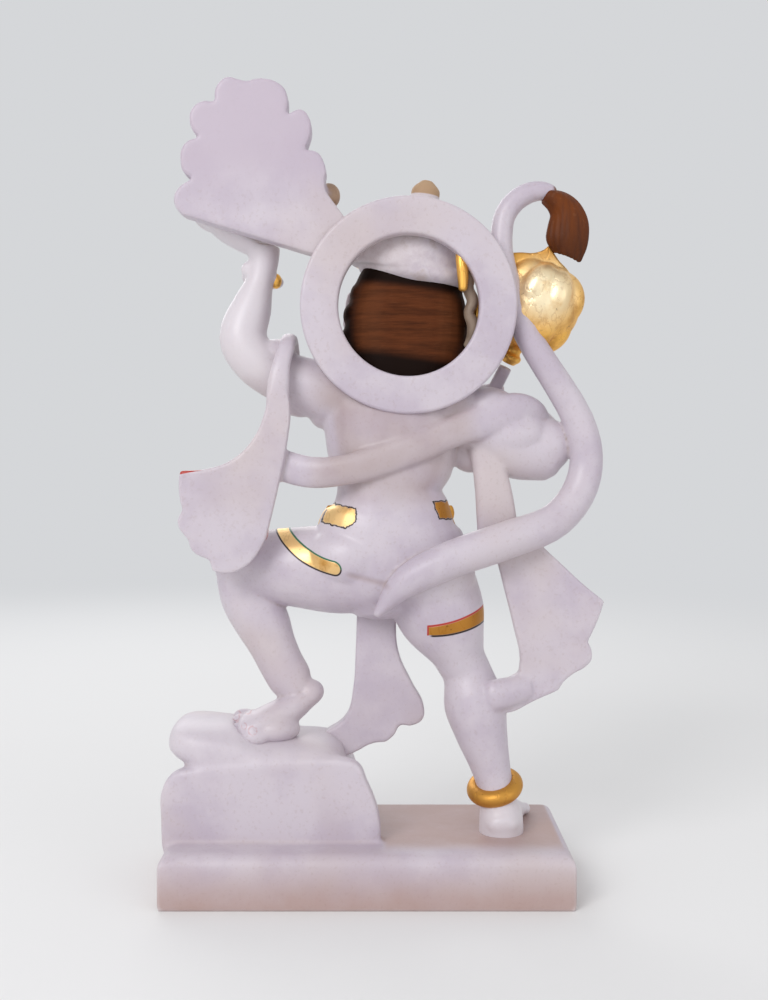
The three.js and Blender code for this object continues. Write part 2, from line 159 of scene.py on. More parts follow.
def paint(name):
    """One colour of the scene's finishes."""
    return tuple(getattr(bpy.context.scene.statue_finishes, name))


def body_frame():
    """Turns the figure's millimetres into metres above the plinth."""
    scale = sizes().figure_height / DRAWN_HEIGHT
    return Matrix.Translation((0, 0, sizes().plinth_height)) @ Matrix.Scale(scale, 4)


def head_frame():
    """The head's own frame, tilted to the figure's right."""
    return body_frame() @ Matrix.Translation((-31, -20, 396)) @ Matrix.Rotation(-0.14, 4, "Y")


# ---- Modelling by hand

def only(*objects):
    """Selects these objects and nothing else, and makes the first one active."""
    if bpy.context.mode != "OBJECT":
        bpy.ops.object.mode_set(mode="OBJECT")
    bpy.ops.object.select_all(action="DESELECT")
    for item in objects:
        item.select_set(True)
    if objects:
        bpy.context.view_layer.objects.active = objects[0]


def settle():
    """Puts the active object's place, turn and scale into its mesh."""
    bpy.ops.object.transform_apply(location=True, rotation=True, scale=True)
    return bpy.context.object


def choose(test):
    """Selects the vertices that pass a test, in edit mode."""
    mesh = bmesh.from_edit_mesh(bpy.context.object.data)
    mesh.select_mode = {"VERT"}
    for vertex in mesh.verts:
        vertex.select = test(vertex)
    mesh.select_flush(True)
    mesh.select_flush_mode()
    bmesh.update_edit_mesh(bpy.context.object.data)


def finish_with(kind, **values):
    """Adds one modifier to the active object and applies it."""
    modifier = bpy.context.object.modifiers.new(kind.title(), kind)
    for key, value in values.items():
        setattr(modifier, key, value)
    bpy.ops.object.modifier_apply(modifier=modifier.name)
    return bpy.context.object


def walk(stations, steps):
    """Values and slopes on a smooth path through rows of numbers."""
    rows = [np.array(row, float) for row in stations]
    rows = [2 * rows[0] - rows[1], *rows, 2 * rows[-1] - rows[-2]]
    spans = len(rows) - 3
    for i in range(spans * steps + 1):
        k = min(i // steps, spans - 1)
        t = i / steps - k
        a, b, c, d = rows[k:k + 4]
        turn, twist = 2 * a - 5 * b + 4 * c - d, 3 * b - a - 3 * c + d
        yield 0.5 * (2 * b + (c - a) * t + turn * t * t + twist * t ** 3), \
            0.5 * (c - a + 2 * turn * t + 3 * twist * t * t)


def add_section(sides, square):
    """A closed outline of radius 1, round, or a square with wide round corners."""
    if not square:
        bpy.ops.mesh.primitive_circle_add(vertices=sides, radius=1)
        return bpy.context.object
    bpy.ops.mesh.primitive_plane_add(size=2)
    bpy.ops.object.mode_set(mode="EDIT")
    bpy.ops.mesh.select_all(action="SELECT")
    bpy.ops.mesh.bevel(offset=1 - 0.7 * square, segments=sides // 4 - 1, affect="VERTICES")
    bpy.ops.mesh.delete(type="ONLY_FACE")
    bpy.ops.object.mode_set(mode="OBJECT")
    return bpy.context.object


def loft(stations, frame_of=body_frame, sides=32, steps=4, depth=(0, 1, 0), domes=(0, 0), square=0):
    """A bar through stations of x, y, z, half width and half depth: its sections are bridged."""
    rows = list(walk(stations, steps))
    places = [(value, slope, 0, 1) for value, slope in rows]
    curve = [math.radians(angle) for angle in (30, 55, 76)]
    for dome, row, side in ((domes[0], rows[0], -1), (domes[1], rows[-1], 1)):
        if dome:
            caps = [(*row, side * dome * math.sin(angle), math.cos(angle)) for angle in curve]
            places = places + caps if side > 0 else caps[::-1] + places
    base = frame_of()
    section = add_section(sides, square)
    rings = []
    for number, (value, slope, shift, share) in enumerate(places):
        only(section)
        if number:
            bpy.ops.object.duplicate()
        ring = bpy.context.object
        along = Vector(slope[:3]).normalized()
        deep = (Vector(depth) - along * along.dot(Vector(depth))).normalized()
        wide = deep.cross(along)
        centre = Vector(value[:3]) + along * shift * min(value[3:])
        columns = (wide * value[3] * share, deep * value[4] * share, along, centre)
        ring.matrix_world = base @ place_matrix(columns)
        mark = ring.data.attributes.get("ring") or ring.data.attributes.new("ring", "INT", "POINT")
        mark.data.foreach_set("value", [number] * len(ring.data.vertices))
        rings.append(ring)
    only(*rings)
    bpy.ops.object.join()
    settle()
    bpy.ops.object.mode_set(mode="EDIT")
    for number in range(len(places) - 1):
        choose_ring(number, number + 1)
        bpy.ops.mesh.bridge_edge_loops()
    for number in (0, len(places) - 1):
        choose_ring(number)
        bpy.ops.mesh.edge_face_add()
    bpy.ops.mesh.select_all(action="SELECT")
    bpy.ops.mesh.normals_make_consistent(inside=False)
    bpy.ops.object.mode_set(mode="OBJECT")
    return bpy.context.object


def place_matrix(columns):
    """A matrix from three axes and a place."""
    return Matrix([[column[row] for column in columns] for row in range(3)] + [[0, 0, 0, 1]])


def choose_ring(*numbers):
    """Selects the vertices of these sections."""
    layer = bmesh.from_edit_mesh(bpy.context.object.data).verts.layers.int["ring"]
    choose(lambda vertex: vertex[layer] in numbers)


def turned(turn):
    """A turn about X, then Y, then Z of the turned piece."""
    x, y, z = (Matrix.Rotation(angle, 4, axis) for angle, axis in zip(turn, "XYZ"))
    return x @ y @ z


def ball(centre, radii, frame_of=body_frame, turn=(0, 0, 0), rows=24):
    """A rounded lump."""
    bpy.ops.mesh.primitive_uv_sphere_add(segments=2 * rows, ring_count=rows, radius=1)
    lump = bpy.context.object
    size = Matrix.Diagonal((*radii, 1))
    lump.matrix_world = frame_of() @ Matrix.Translation(centre) @ turned(turn) @ size
    return settle()


def hoop(centre, radius, tube, turn=(0, 0, 0), stretch=(1, 1, 1), frame_of=body_frame,
         around=64, across=16):
    """A ring of a real radius and tube, in metres, about a point of the figure."""
    bpy.ops.mesh.primitive_torus_add(
        major_segments=around, minor_segments=across, major_radius=radius, minor_radius=tube)
    ring = bpy.context.object
    base = frame_of()
    stand = Matrix.Translation(base @ Vector(centre)) @ base.to_quaternion().to_matrix().to_4x4()
    ring.matrix_world = stand @ turned(turn) @ Matrix.Diagonal((*stretch, 1))
    return settle()


def slab(start, runs, back, thickness, frame_of=body_frame):
    """A flat piece cut to an outline in X and Z. Each run is one smooth stretch between two corners."""
    points, corners = [start], {0}
    for run in runs:
        points += run
        corners.add(len(points) - 1)
    if points[-1] == points[0]:
        points.pop()
    bpy.ops.curve.primitive_bezier_curve_add()
    outline = bpy.context.object
    data = outline.data
    data.dimensions, data.fill_mode, data.resolution_u = "2D", "BOTH", 6
    data.extrude = thickness / 2
    spline = data.splines[0]
    spline.bezier_points.add(len(points) - 2)
    spline.use_cyclic_u = True
    for i, (point, (x, z)) in enumerate(zip(spline.bezier_points, points)):
        kind = "VECTOR" if i in corners else "AUTO"
        point.co = (x, z, 0)
        point.handle_left_type = point.handle_right_type = kind
    stand = Matrix.Translation((0, back - thickness / 2, 0)) @ Matrix.Rotation(math.pi / 2, 4, "X")
    outline.matrix_world = frame_of() @ stand
    bpy.ops.object.convert(target="MESH")
    settle()
    bpy.ops.object.mode_set(mode="EDIT")
    bpy.ops.mesh.select_all(action="SELECT")
    bpy.ops.mesh.remove_doubles(threshold=0.00001)
    bpy.ops.mesh.normals_make_consistent(inside=False)
    bpy.ops.object.mode_set(mode="OBJECT")
    return bpy.context.object


def fuse(name, forms, grain, rubs):
    """Makes overlapping forms one carved piece: joined, cut at the grain, rubbed smooth and thinned."""
    only(*forms)
    bpy.ops.object.join()
    settle()
    finish_with("REMESH", mode="VOXEL", voxel_size=grain, use_smooth_shade=True)
    finish_with("SMOOTH", factor=0.5, iterations=rubs)
    triangles = 2 * len(bpy.context.object.data.polygons)
    if triangles > FACES[name]:
        finish_with("DECIMATE", ratio=FACES[name] / triangles)
    return call(name)


def call(name):
    """Names the active object and its mesh, shades it smooth and takes stray attributes off."""
    piece = bpy.context.object
    piece.name = piece.data.name = name
    mark = piece.data.attributes.get("ring")
    if mark:
        piece.data.attributes.remove(mark)
    bpy.ops.object.shade_smooth()
    return piece


def dress(piece, recipe):
    """Gives a finished piece its material and its place in the frame."""
    piece.data.materials.clear()
    piece.data.materials.append(material_of(recipe))
    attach(piece, "root")
    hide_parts(STONE_NODE)
    if not piece.data.polygons:
        raise RuntimeError(f"{piece.name} has no faces")


# ---- The forms of the body

def right_leg():
    """The standing leg, its foot and its toes."""
    leg = loft([
        [-47, -2, 192, 37, 34], [-59, -2, 163, 33.5, 32], [-68, -3, 142, 24, 27],
        [-72, -3, 132, 20, 24], [-78, -2, 119, 19.5, 21], [-83, 3, 98, 24, 23],
        [-88, 5, 76, 20.5, 20], [-95, 6, 50, 15.5, 16], [-100, 8, 28, 14, 15],
        [-103, 10, 8, 17, 18], [-103, 10, -4, 17, 18]])
    foot = loft([
        [-103, 24, 8, 12, 9], [-103, 10, 11, 17, 14], [-106, -8, 11, 15, 13], [-110, -26, 7, 16, 10],
        [-112, -41, 4, 17, 7]], depth=(0, 0, 1), domes=(0.6, 0))
    toes = [ball(centre, (size, size * 1.9, size * 0.95)) for centre, size in (
        ((-100, -48, 5), 6.5), ((-109, -50, 4), 5), ((-116, -48, 4), 4.6), ((-122, -44, 4), 4.3),
        ((-127, -38, 4.5), 4.4))]
    return [leg, foot, *toes]


def left_leg():
    """The raised leg, with its foot on the rock."""
    thigh = loft([
        [-6, -4, 204, 35, 33], [23, -6, 202, 35, 32], [52, -9, 203, 32, 30], [81, -12, 204, 28, 27],
        [102, -15, 205, 21, 24]], domes=(0, 0.9))
    shin = loft([
        [104, -16, 200, 17, 20], [94.5, -14, 180, 22, 21], [83, -12, 159, 21.5, 20],
        [75, -9, 142, 18.5, 17], [68, -6, 128, 17.5, 15.5], [60, -3, 115, 17, 14],
        [53, 0, 106, 12, 12]])
    heel = ball((44.5, 1, 107), (10.5, 11, 9.5))
    foot = loft([
        [41, 1, 105.5, 7, 10], [50, 2, 101, 9.5, 12.5], [62, 4, 93, 11.5, 15], [76, 6, 86.5, 11.5, 18],
        [88, 7, 82.5, 10, 20], [95, 6, 82, 8, 18]], domes=(0.4, 0.5))
    sole = [ball((72, 10, 80), (20, 17, 11.5)), ball((86, 16, 76), (13, 14, 9)),
            ball((87, 6, 85), (13, 17, 8.5))]
    toes = [ball(centre, (size * 1.7, size, size * 0.95)) for centre, size in (
        ((97, -9, 86.5), 5.4), ((98, 1.5, 85.5), 4.6), ((96, 10, 82.5), 4.5), ((92.5, 17.5, 79.5), 4.3),
        ((88, 24, 76.5), 4.3))]
    return [thigh, shin, heel, foot, *sole, *toes]


def torso():
    """Trunk, chest, belly, seat and the right shoulder."""
    trunk = loft([
        [-22, -4, 178, 38, 28], [-20, -4, 190, 52, 34], [-17.5, -4, 210, 60, 37],
        [-16, -3, 233, 56, 35], [-17, -3, 250, 47, 31], [-16.5, -3, 266, 40, 30],
        [-19, -3, 285, 48, 31], [-18, -3, 304, 51, 33], [-20, -3, 326, 57, 31],
        [-25, -6, 344, 45, 25], [-29, -12, 358, 25, 19], [-31, -16, 372, 20, 18]], square=0.12,
        domes=(0.5, 0))
    chest = [ball((7, -20, 320), (27, 16, 20)), ball((-42, -20, 318), (27, 16, 20))]
    belly = ball((-17, -20, 262), (36, 17, 30))
    seat = [ball((11, 6, 212), (38, 28, 27)), ball((-47, 8, 198), (36, 28, 34))]
    shoulder = ball((-92, 3, 327), (23, 19, 16.5))
    armpit = ball((-80, -6, 294), (17, 12, 17))
    return [trunk, *chest, belly, *seat, shoulder, armpit]


def left_arm():
    """The raised arm, its open hand, the bracelet and its bead."""
    arm = loft([
        [14, -2, 334, 25, 24], [44, -2, 343, 22.5, 23], [68, -2, 352, 20, 20],
        [87, -2, 364, 18.5, 19.5], [96.5, -2, 382, 18.5, 18.5], [90, -4, 405, 15.6, 15.5],
        [84, -6, 425, 10.8, 12], [81, -7, 440, 11.5, 12], [81, -8, 452, 13, 14]])
    inside = ball((70, -1, 366), (15, 15, 14.5))
    under = [ball((52, -4, 335), (17, 14, 15)), ball((34, -4, 324), (12, 14, 13))]
    palm = loft([
        [84, -8, 452, 9, 14], [97, -10, 460, 11, 19], [112, -12, 468, 10, 22],
        [126, -13, 478, 6.5, 21]])
    fingers = [loft([
        [114, -27 + 9 * i, 469, 6, 5], [131, -29 + 9.5 * i, 476, 5.4, 4.6],
        [139, -30 + 10 * i, 490, 4.2, 4]],
        sides=12, domes=(0, 0.9)) for i in range(4)]
    thumb = loft([
        [86, -20, 452, 6.5, 6.5], [79, -32, 465, 6, 6], [80, -37, 484, 4.4, 4.4]],
        sides=12, domes=(0, 0.9))
    bracelet = hoop((82.5, -15, 428), 0.0125, 0.0042, turn=(0.1, -0.15, 0))
    bead = ball((92, -6, 434.5), (6.6, 6, 6.6))
    return [arm, inside, *under, palm, *fingers, thumb, bracelet, bead]


def right_arm():
    """The bent arm and the hand round the mace."""
    upper = loft([
        [-60, -4, 328, 27, 25], [-88, -3, 316, 26, 23], [-113, -2, 298, 25, 21],
        [-134, -4, 291, 21, 20]],
        domes=(0, 0.95))
    elbow = ball((-138, -3, 298), (20.5, 19, 21.5), turn=(0, -0.35, 0))
    biceps = ball((-112, 3, 307), (27, 19, 20))
    lower = loft([
        [-137, -6, 291, 19, 18], [-136, -16, 306, 17, 16], [-126, -26, 320, 14, 13],
        [-112, -32, 329, 11, 11], [-104, -34, 332, 11, 12]], domes=(0.6, 0))
    fist = ball((-96, -33, 333), (15, 13, 15))
    fingers = [loft([
        [-110 + i, -44, 322 + 7.4 * i, 4.4, 4.4], [-100 + i, -48, 321 + 7.4 * i, 4.6, 4.6],
        [-89 + i, -38, 320 + 7.4 * i, 4, 4]], sides=12, depth=(0, 0, 1),
        domes=(0.7, 0.7)) for i in range(4)]
    return [upper, elbow, biceps, lower, fist, *fingers]


def tail():
    """The tail, from the seat round to its curled end."""
    return [loft([
        [-8, 33, 172, 4, 6], [-28, 38, 195, 11.5, 11], [-58, 38, 211, 14, 13],
        [-102, 32, 226, 14.5, 13], [-144, 20, 242, 13.5, 12.5], [-166, 12, 275, 13, 12],
        [-161, 10, 318, 12, 11.5], [-121, 9, 385, 10.2, 10], [-104, 9, 436, 9, 9.5],
        [-103, 8, 466, 8.4, 8.5], [-109.5, 8, 481, 8.3, 8.2], [-121, 7, 490, 8.1, 8],
        [-132.5, 6, 492.6, 7.3, 7.6], [-141, 5, 490.5, 6.6, 7]], steps=5,
        domes=(0.8, 0.5))]


def drape():
    """The cloth that hangs between the legs."""
    strip = loft([
        [-16, -38, 246, 11, 5], [-13, -41, 222, 12, 7], [-8, -36, 196, 15, 9], [-7, -24, 165, 15, 9]],
        square=0.3)
    end = slab((-22, 190), [
        [(9, 190)], [(9, 165), (10, 135), (12, 106), (18, 84), (34, 72)], [(24, 50)], [(10, 56),
        (-4, 63), (-14, 64)], [(-21, 70), (-25, 77), (-34, 77), (-43, 82), (-44, 92), (-35, 110),
        (-24, 135), (-22, 165), (-22, 190)],
    ], -12, 16)
    return [strip, end]


def sash():
    """The sash: round the left arm, across the back and down to both fans."""
    crook = loft([
        [60, 0, 326, 7, 5], [60, -16, 331, 7, 5], [60, -24, 347, 7, 5], [60, -20, 367, 6.5, 5],
        [60, 0, 379, 6, 5], [61, 20, 373, 6.2, 5.5],
        [64.5, 29, 358, 6.8, 5.5], [66.6, 31.5, 343, 8.4, 5.5], [68, 31.5, 320, 8.5, 5.5],
        [73, 31.5, 292, 10, 5]], square=0.3)
    left_fan = slab((63, 345), [
        [(72, 341), (76, 325), (84, 305), (100, 288), (122, 280), (140, 279)], [(141, 268), (140, 256)],
        [(138, 250)], [(142, 240), (134, 227)], [(131, 219), (118, 212)], [(117, 208), (116, 204)],
        [(107, 202), (97, 204), (86, 212), (76, 228)],
        [(66, 270), (60, 300), (58, 330), (63, 345)]], 37, 11)
    across = loft([
        [74, 22, 286, 12, 6], [45, 27, 278, 12, 6.5], [20, 29, 279, 11.5, 7], [-5, 28, 285, 12, 7],
        [-35, 26, 296, 12.5, 7], [-65, 21, 308, 11.5, 8], [-91, 16, 318, 13.5, 8],
        [-112, 12, 325, 13.5, 9], [-127, 1, 321, 12.5, 9], [-131, -16, 310, 12, 6]],
        square=0.15, domes=(0, 0.6))
    fall = loft([
        [-82, 6, 312, 8, 8], [-90, 8, 290, 11, 7], [-96, 11, 265, 14, 6.5], [-100, 12, 230, 16, 6]],
        square=0.3)
    right_fan = slab((-89, 231), [
        [(-97, 215), (-105, 187), (-112, 159), (-117, 135), (-116, 124)], [(-101, 116), (-86, 112)],
        [(-88, 97)], [(-106, 93), (-129, 103), (-146, 110.5)], [(-150, 117)], [(-158, 123.5),
        (-165, 127)], [(-171.5, 134), (-171.5, 142)], [(-168.5, 148)], [(-176, 164), (-181, 179)],
        [(-165, 192), (-151, 205), (-133, 222), (-122, 234), (-116, 238)]], 18, 11)
    tie = loft([
        [-124, 15, 113, 9, 6], [-112, 17, 110.5, 11, 8], [-101, 18.5, 108, 12, 9],
        [-96, 19, 107, 12, 9]], square=0.1, domes=(0.3, 0.8))
    return [crook, left_fan, across, fall, right_fan, tie]


def mace_line():
    """The mace's foot, its head and the turn that stands +Z along it, in the figure's frame."""
    foot, head = Vector((-83, -36, 308)), Vector((-131.5, -12, 407.5))
    return foot, head, Vector((0, 0, 1)).rotation_difference(head - foot).to_matrix().to_4x4()


def mace_frame():
    """The mace's own frame, from its foot."""
    foot, _, lean = mace_line()
    return body_frame() @ Matrix.Translation(foot) @ lean


def mace_head_frame():
    """The mace's own frame, from the middle of its head."""
    _, head, lean = mace_line()
    return body_frame() @ Matrix.Translation(head) @ lean


# ---- Shader maths

class Value:
    """One output of a node. Arithmetic on it adds Math nodes."""

    def __init__(self, finish, socket):
        self.finish, self.socket = finish, socket

    def math(self, operation, *values):
        """A Math node on these values."""
        return self.finish.node("ShaderNodeMath", {"operation": operation}, dict(enumerate(values)))

    def __add__(self, other):
        return self.math("ADD", self, other)

    def __sub__(self, other):
        return self.math("SUBTRACT", self, other)

    def __rsub__(self, other):
        return self.math("SUBTRACT", other, self)

    def __mul__(self, other):
        return self.math("MULTIPLY", self, other)

    def __truediv__(self, other):
        return self.math("DIVIDE", self, other)

    def __rtruediv__(self, other):
        return self.math("DIVIDE", other, self)

    def __pow__(self, other):
        return self.math("POWER", self, other)

    def __or__(self, other):
        return self.math("MAXIMUM", self, other)

    def __and__(self, other):
        return self.math("MINIMUM", self, other)

    def __abs__(self):
        return self.math("ABSOLUTE", self)

    __radd__ = __add__
    __rmul__ = __mul__

    def over(self, low, high):
        """0 below low, 1 above high, smooth between."""
        return self.finish.node("ShaderNodeMapRange", {"interpolation_type": "SMOOTHSTEP"},
                                {0: self, 1: low, 2: high})

    def within(self, low, high, soft=0.25):
        """1 between low and high, with soft sides."""
        return self.over(low - soft, low + soft) * (1 - self.over(high - soft, high + soft))


class Finish:
    """A material under construction."""

    def __init__(self, name):
        self.material = bpy.data.materials.new(name)
        self.material.use_nodes = True
        self.tree = self.material.node_tree
        self.tree.nodes.clear()
        surface = self.node("ShaderNodeBsdfPrincipled", {}, {})
        self.shader = surface.socket.node
        self.node("ShaderNodeOutputMaterial", {}, {0: surface})
        self.place = self.node("ShaderNodeTexCoord", {}, {}, output="Object")

    def node(self, kind, settings, inputs, output=0):
        """Any node: its settings first, then the values or links of its sockets."""
        made = self.tree.nodes.new(kind)
        for key, value in settings.items():
            setattr(made, key, value)
        for key, value in inputs.items():
            self.feed(made.inputs[key], value)
        return Value(self, made.outputs[output]) if made.outputs else made

    def feed(self, socket, value):
        """Links a value to a socket, or sets a constant on it."""
        if isinstance(value, Value):
            self.tree.links.new(value.socket, socket)
        elif socket.type == "RGBA":
            socket.default_value = (*value[:3], 1)
        else:
            socket.default_value = value

    def mix(self, share, first, second):
        """Two colours, the second by a share."""
        return self.node(
            "ShaderNodeMix", {"data_type": "RGBA"}, {0: share, 6: first, 7: second}, output=2)

    def noise(self, scale, detail=4, stretch=None, turn=(0, 0, 0), roughness=0.5):
        """Cloudy noise, its scale in clouds per metre."""
        place = self.place
        if stretch:
            place = self.node(
                "ShaderNodeMapping", {}, {"Vector": place, "Scale": stretch, "Rotation": turn})
        return self.node("ShaderNodeTexNoise", {},
                         {"Vector": place, "Scale": scale, "Detail": detail, "Roughness": roughness})

    def parts(self):
        """X, Y and Z of the place."""
        return [self.node("ShaderNodeSeparateXYZ", {}, {0: self.place}, output=i) for i in range(3)]

    def axes(self):
        """X, Y and Z of the place, in millimetres."""
        return [part * MM_PER_METRE for part in self.parts()]

    def enter(self, frame_of):
        """Moves the place into a form's own frame, whose numbers are millimetres already."""
        inner = frame_of().inverted()
        self.place = self.node("ShaderNodeMapping", {"vector_type": "POINT"}, {
            "Vector": self.place, "Location": inner.to_translation(),
            "Rotation": inner.to_quaternion().to_euler(), "Scale": inner.to_scale()})
        return self.parts()

    def bump(self, height, strength, distance):
        """A normal raised by a height."""
        return self.node(
            "ShaderNodeBump", {}, {"Strength": strength, "Distance": distance, "Height": height})

    def set(self, **values):
        """Values or links of the shader's own sockets."""
        for key, value in values.items():
            label = key.replace("_", " ").title().replace("Ior", "IOR")
            self.feed(self.shader.inputs[label], value)


def apart(first, second):
    """How far a point lies from a middle, from its two offsets."""
    return (first ** 2 + second ** 2) ** 0.5


def stone(finish, dusty=None):
    """Clouded marble, with dust and painted shade in its hollows and painted highlight paler on its
    rims: colour, grain and clouds.
    """
    clouds = finish.noise(16, detail=6, roughness=0.6)
    patches = finish.noise(7, detail=3)
    specks = finish.noise(420, detail=3)
    base = finish.mix(clouds.over(0.40, 0.62), paint("marble"), paint("marble_vein"))
    base = finish.mix(patches.over(0.46, 0.66) * 0.7, base, paint("marble_warm"))
    if dusty is not None:
        film = finish.noise(38, detail=5, roughness=0.65)
        base = finish.mix(dusty * (film * 0.6 + 0.6), base, paint("plinth_dust"))
    base = finish.mix(specks.over(0.55, 0.72) * 0.14, base, paint("dust"))
    # Dust and painted shade darken the hollows; painted highlight makes the rims paler
    curve = finish.node("ShaderNodeVertexColor", {"layer_name": "crease"}, {})
    patchy = finish.noise(60, detail=4) * 0.9 + 0.2
    base = finish.mix((1 - curve.over(0.445, 0.493)) * patchy * 0.85, base, paint("dust"))
    base = finish.mix(curve.over(0.512, 0.56) * 0.5, base, paint("marble_rim"))
    grain = finish.noise(700, detail=3) * 0.8 + finish.noise(150, detail=3) * 0.9
    return base, grain, clouds


def leaf(finish, wear_and_shade=0.0, bright=0.0):
    """Colour, roughness and wrinkles of gold leaf: paler where bright asks, for painted highlight on
    the gilding and the mace and pale patches on the crown; cracked, and darker where wear_and_shade
    asks, which carries wear and painted shade.
    """
    clouds = finish.noise(55, detail=5, roughness=0.6)
    pits = finish.noise(330, detail=4)
    wrinkles = finish.noise(170, detail=5, stretch=(1, 1, 0.5), turn=(0.3, 0.5, 0), roughness=0.65)
    ridges = finish.noise(64, detail=5, turn=(0.4, 0.2, 0), stretch=(1, 1, 0.6))
    cracks = 1 - abs(ridges - 0.5).over(0, 0.022)
    base = finish.mix(clouds.over(0.45, 0.72) * 0.45 | wear_and_shade, paint("gold"), paint("gold_worn"))
    base = finish.mix(bright * (1.15 - clouds.over(0.45, 0.8)), base, paint("gold_pale"))
    base = finish.mix(cracks * 0.2, base, paint("gold_worn"))
    base = finish.mix(pits.over(0.66, 0.74) * 0.5, base, paint("dark"))
    return base, clouds * 0.3 + 0.30, pits * 0.4 + clouds * 0.7 + wrinkles * 0.9 - cracks * 0.5


def polish(finish, base, rough, height, strength=0.12, **values):
    """Sets what every stone finish shares."""
    finish.set(base_color=base, roughness=rough, normal=finish.bump(height, strength, 0.0004),
               subsurface_weight=0.12, subsurface_scale=0.004, subsurface_radius=(1.0, 0.82, 0.76),
               specular_ior_level=0.45, **values)


def polished_marble(finish):
    """Plain polished marble."""
    base, grain, clouds = stone(finish)
    polish(finish, base, clouds * 0.16 + 0.30, grain)


def plinth_marble(finish):
    """Marble under a brown film on the plinth, worn off its back rim, and rock painted paler towards
    its top as a highlight.
    """
    x, y, z = finish.axes()
    level = z + (finish.noise(45, detail=4) - 0.5) * 7
    top = z.over(38.6, 39.8) * (1.05 - y.over(36, 66)) * (1 - x.over(-16, -10) * y.over(34, 40))
    face = 1 - z.over(4, 37) * 0.92
    dusty = (top | face) * (1 - level.over(41, 49))
    base, grain, clouds = stone(finish, dusty)
    # Painted highlight: the rock paler towards its top
    base = finish.mix(z.over(92, 116) * 0.35, base, paint("marble_rim"))
    polish(finish, base, clouds * 0.16 + 0.36, grain)


def thigh_hem(x, y, z, wobble):
    """Gold, red and dark of the hem on the right thigh, which widens outwards and rises."""
    back, front = y.over(-1, 1), 1 - y.over(-1, 1)
    out = -46.5 - x
    side = x.within(-98, -30, 1) * z.within(185, 230, 1)
    high = z - 200.6 - out * 0.1127 - out * out * 0.00455 + wobble * 0.12
    foot = high + 6.2 + (out | 0) * 0.10
    hem = (1 - high.over(-0.3, 0.3)) * foot.over(-0.3, 0.3) * (out.over(-0.3, 0.3) | front) * side
    edge = out.within(-1.4, 0.1, 0.3) * back * (1 - high.over(1.0, 1.6)) * foot.over(-0.6, 0)
    red = (high.within(0, 1.6, 0.3) * (out.over(-1.6, -1) | front) | edge) * side
    return hem, red, foot.within(-1.5, 0, 0.3) * (out.over(0, 3) | front) * side


def seat_hem(x, y, z, wobble):
    """Gold, green and dark of the hem on the seat: an arc that narrows forwards and ends round."""
    arc = apart(x - 11.9, z - 309.7) - 65.7
    outside = apart(arc, (25 - x) | 0) + wobble * 0.15 - (4.5 - ((x - 50) | 0) * 0.03)
    seat = y.over(-14, -12) * z.within(226, 283, 0.6) * x.within(15, 80, 0.5)
    seat = seat * (1 - x.over(66, 68) * y.over(16, 19))
    border = outside.within(0, 1.3, 0.3) * seat
    above = arc.over(-0.2, 0.2)
    return (1 - outside.over(-0.25, 0.25)) * seat, border * (1 - above), border * above


def front_hem(x, y, z):
    """Gold and red of the same hem in front."""
    bow = x - 69 + (277 - z) * 0.10 + (z - 243) * (z - 243) * 0.002
    side = (1 - y.over(-25, -23)) * z.within(214, 280, 1) * x.within(50, 90, 1)
    red = (bow.within(-6.6, -5, 0.3) | bow.within(5, 6.6, 0.3)) * side
    return bow.within(-5, 5, 0.3) * side, red


def belt_patches(finish, x, y, z):
    """Gold and dark of the belt's ragged ends at the waist."""
    back = y.over(-1, 1)
    ragged = (finish.noise(190, detail=5, roughness=0.7) - 0.5) * 9
    left = (293.2 - (27 - x) * 0.19 - z) & (z - 276 - (x - 16.6) * 0.22) & (z - 276 - (16.6 - x) * 0.65)
    left = left & (x - 9.5) & (35 - (z - 280) * 0.36 - x)
    right = (295 - z) & (z - 282.3) & (-50.6 - (295 - z) * 0.35 - x) & (x + 72)
    ends = ((left * 0.9) | (right * 0.9)) + ragged * 0.45
    flank = z.within(277.5, 291.5, 0.5) * y.within(-16, 5, 1)
    flank = flank * (x.over(20, 24) | (1 - x.over(-62, -58))) * (1 - x.over(50, 54)) * x.over(-86, -82)
    return (ends.over(-0.1, 0.3) * back) | flank, ends.within(-1.0, 0, 0.25) * back * (1 - flank)


def nail_rings(finish, x, y, z):
    """The red outlines of the toenails, worn away in places."""
    nails = 0
    for nail_x, nail_z, wide, tall in ((102.7, 127.6, 3.4, 2.7), (94.3, 132.8, 4, 1.2),
                                       (93.8, 124.8, 2, 2), (87.2, 121.8, 3.1, 3.1)):
        ring = apart((x - nail_x) / wide, (z - nail_z) / tall).within(0.80, 1.18, 0.12)
        nails = ring * y.over(-9, -7) | nails
    return nails * finish.noise(300, detail=2).over(0.35, 0.5)


def red_touches(x, y, z):
    """The red corner of the left fan and the touch of red below the belt."""
    corner = (z - 319.3 + (x - 124) * 0.19).over(-0.3, 0.3) * x.over(122, 126)
    corner = corner * z.over(310, 312) * y.over(20, 22)
    touch = apart((x - 79) / 1.8, (z - 269.5) / 4.5)
    return corner | (1 - touch.over(0.7, 1.1)) * y.within(-20, 20, 1) * 0.8


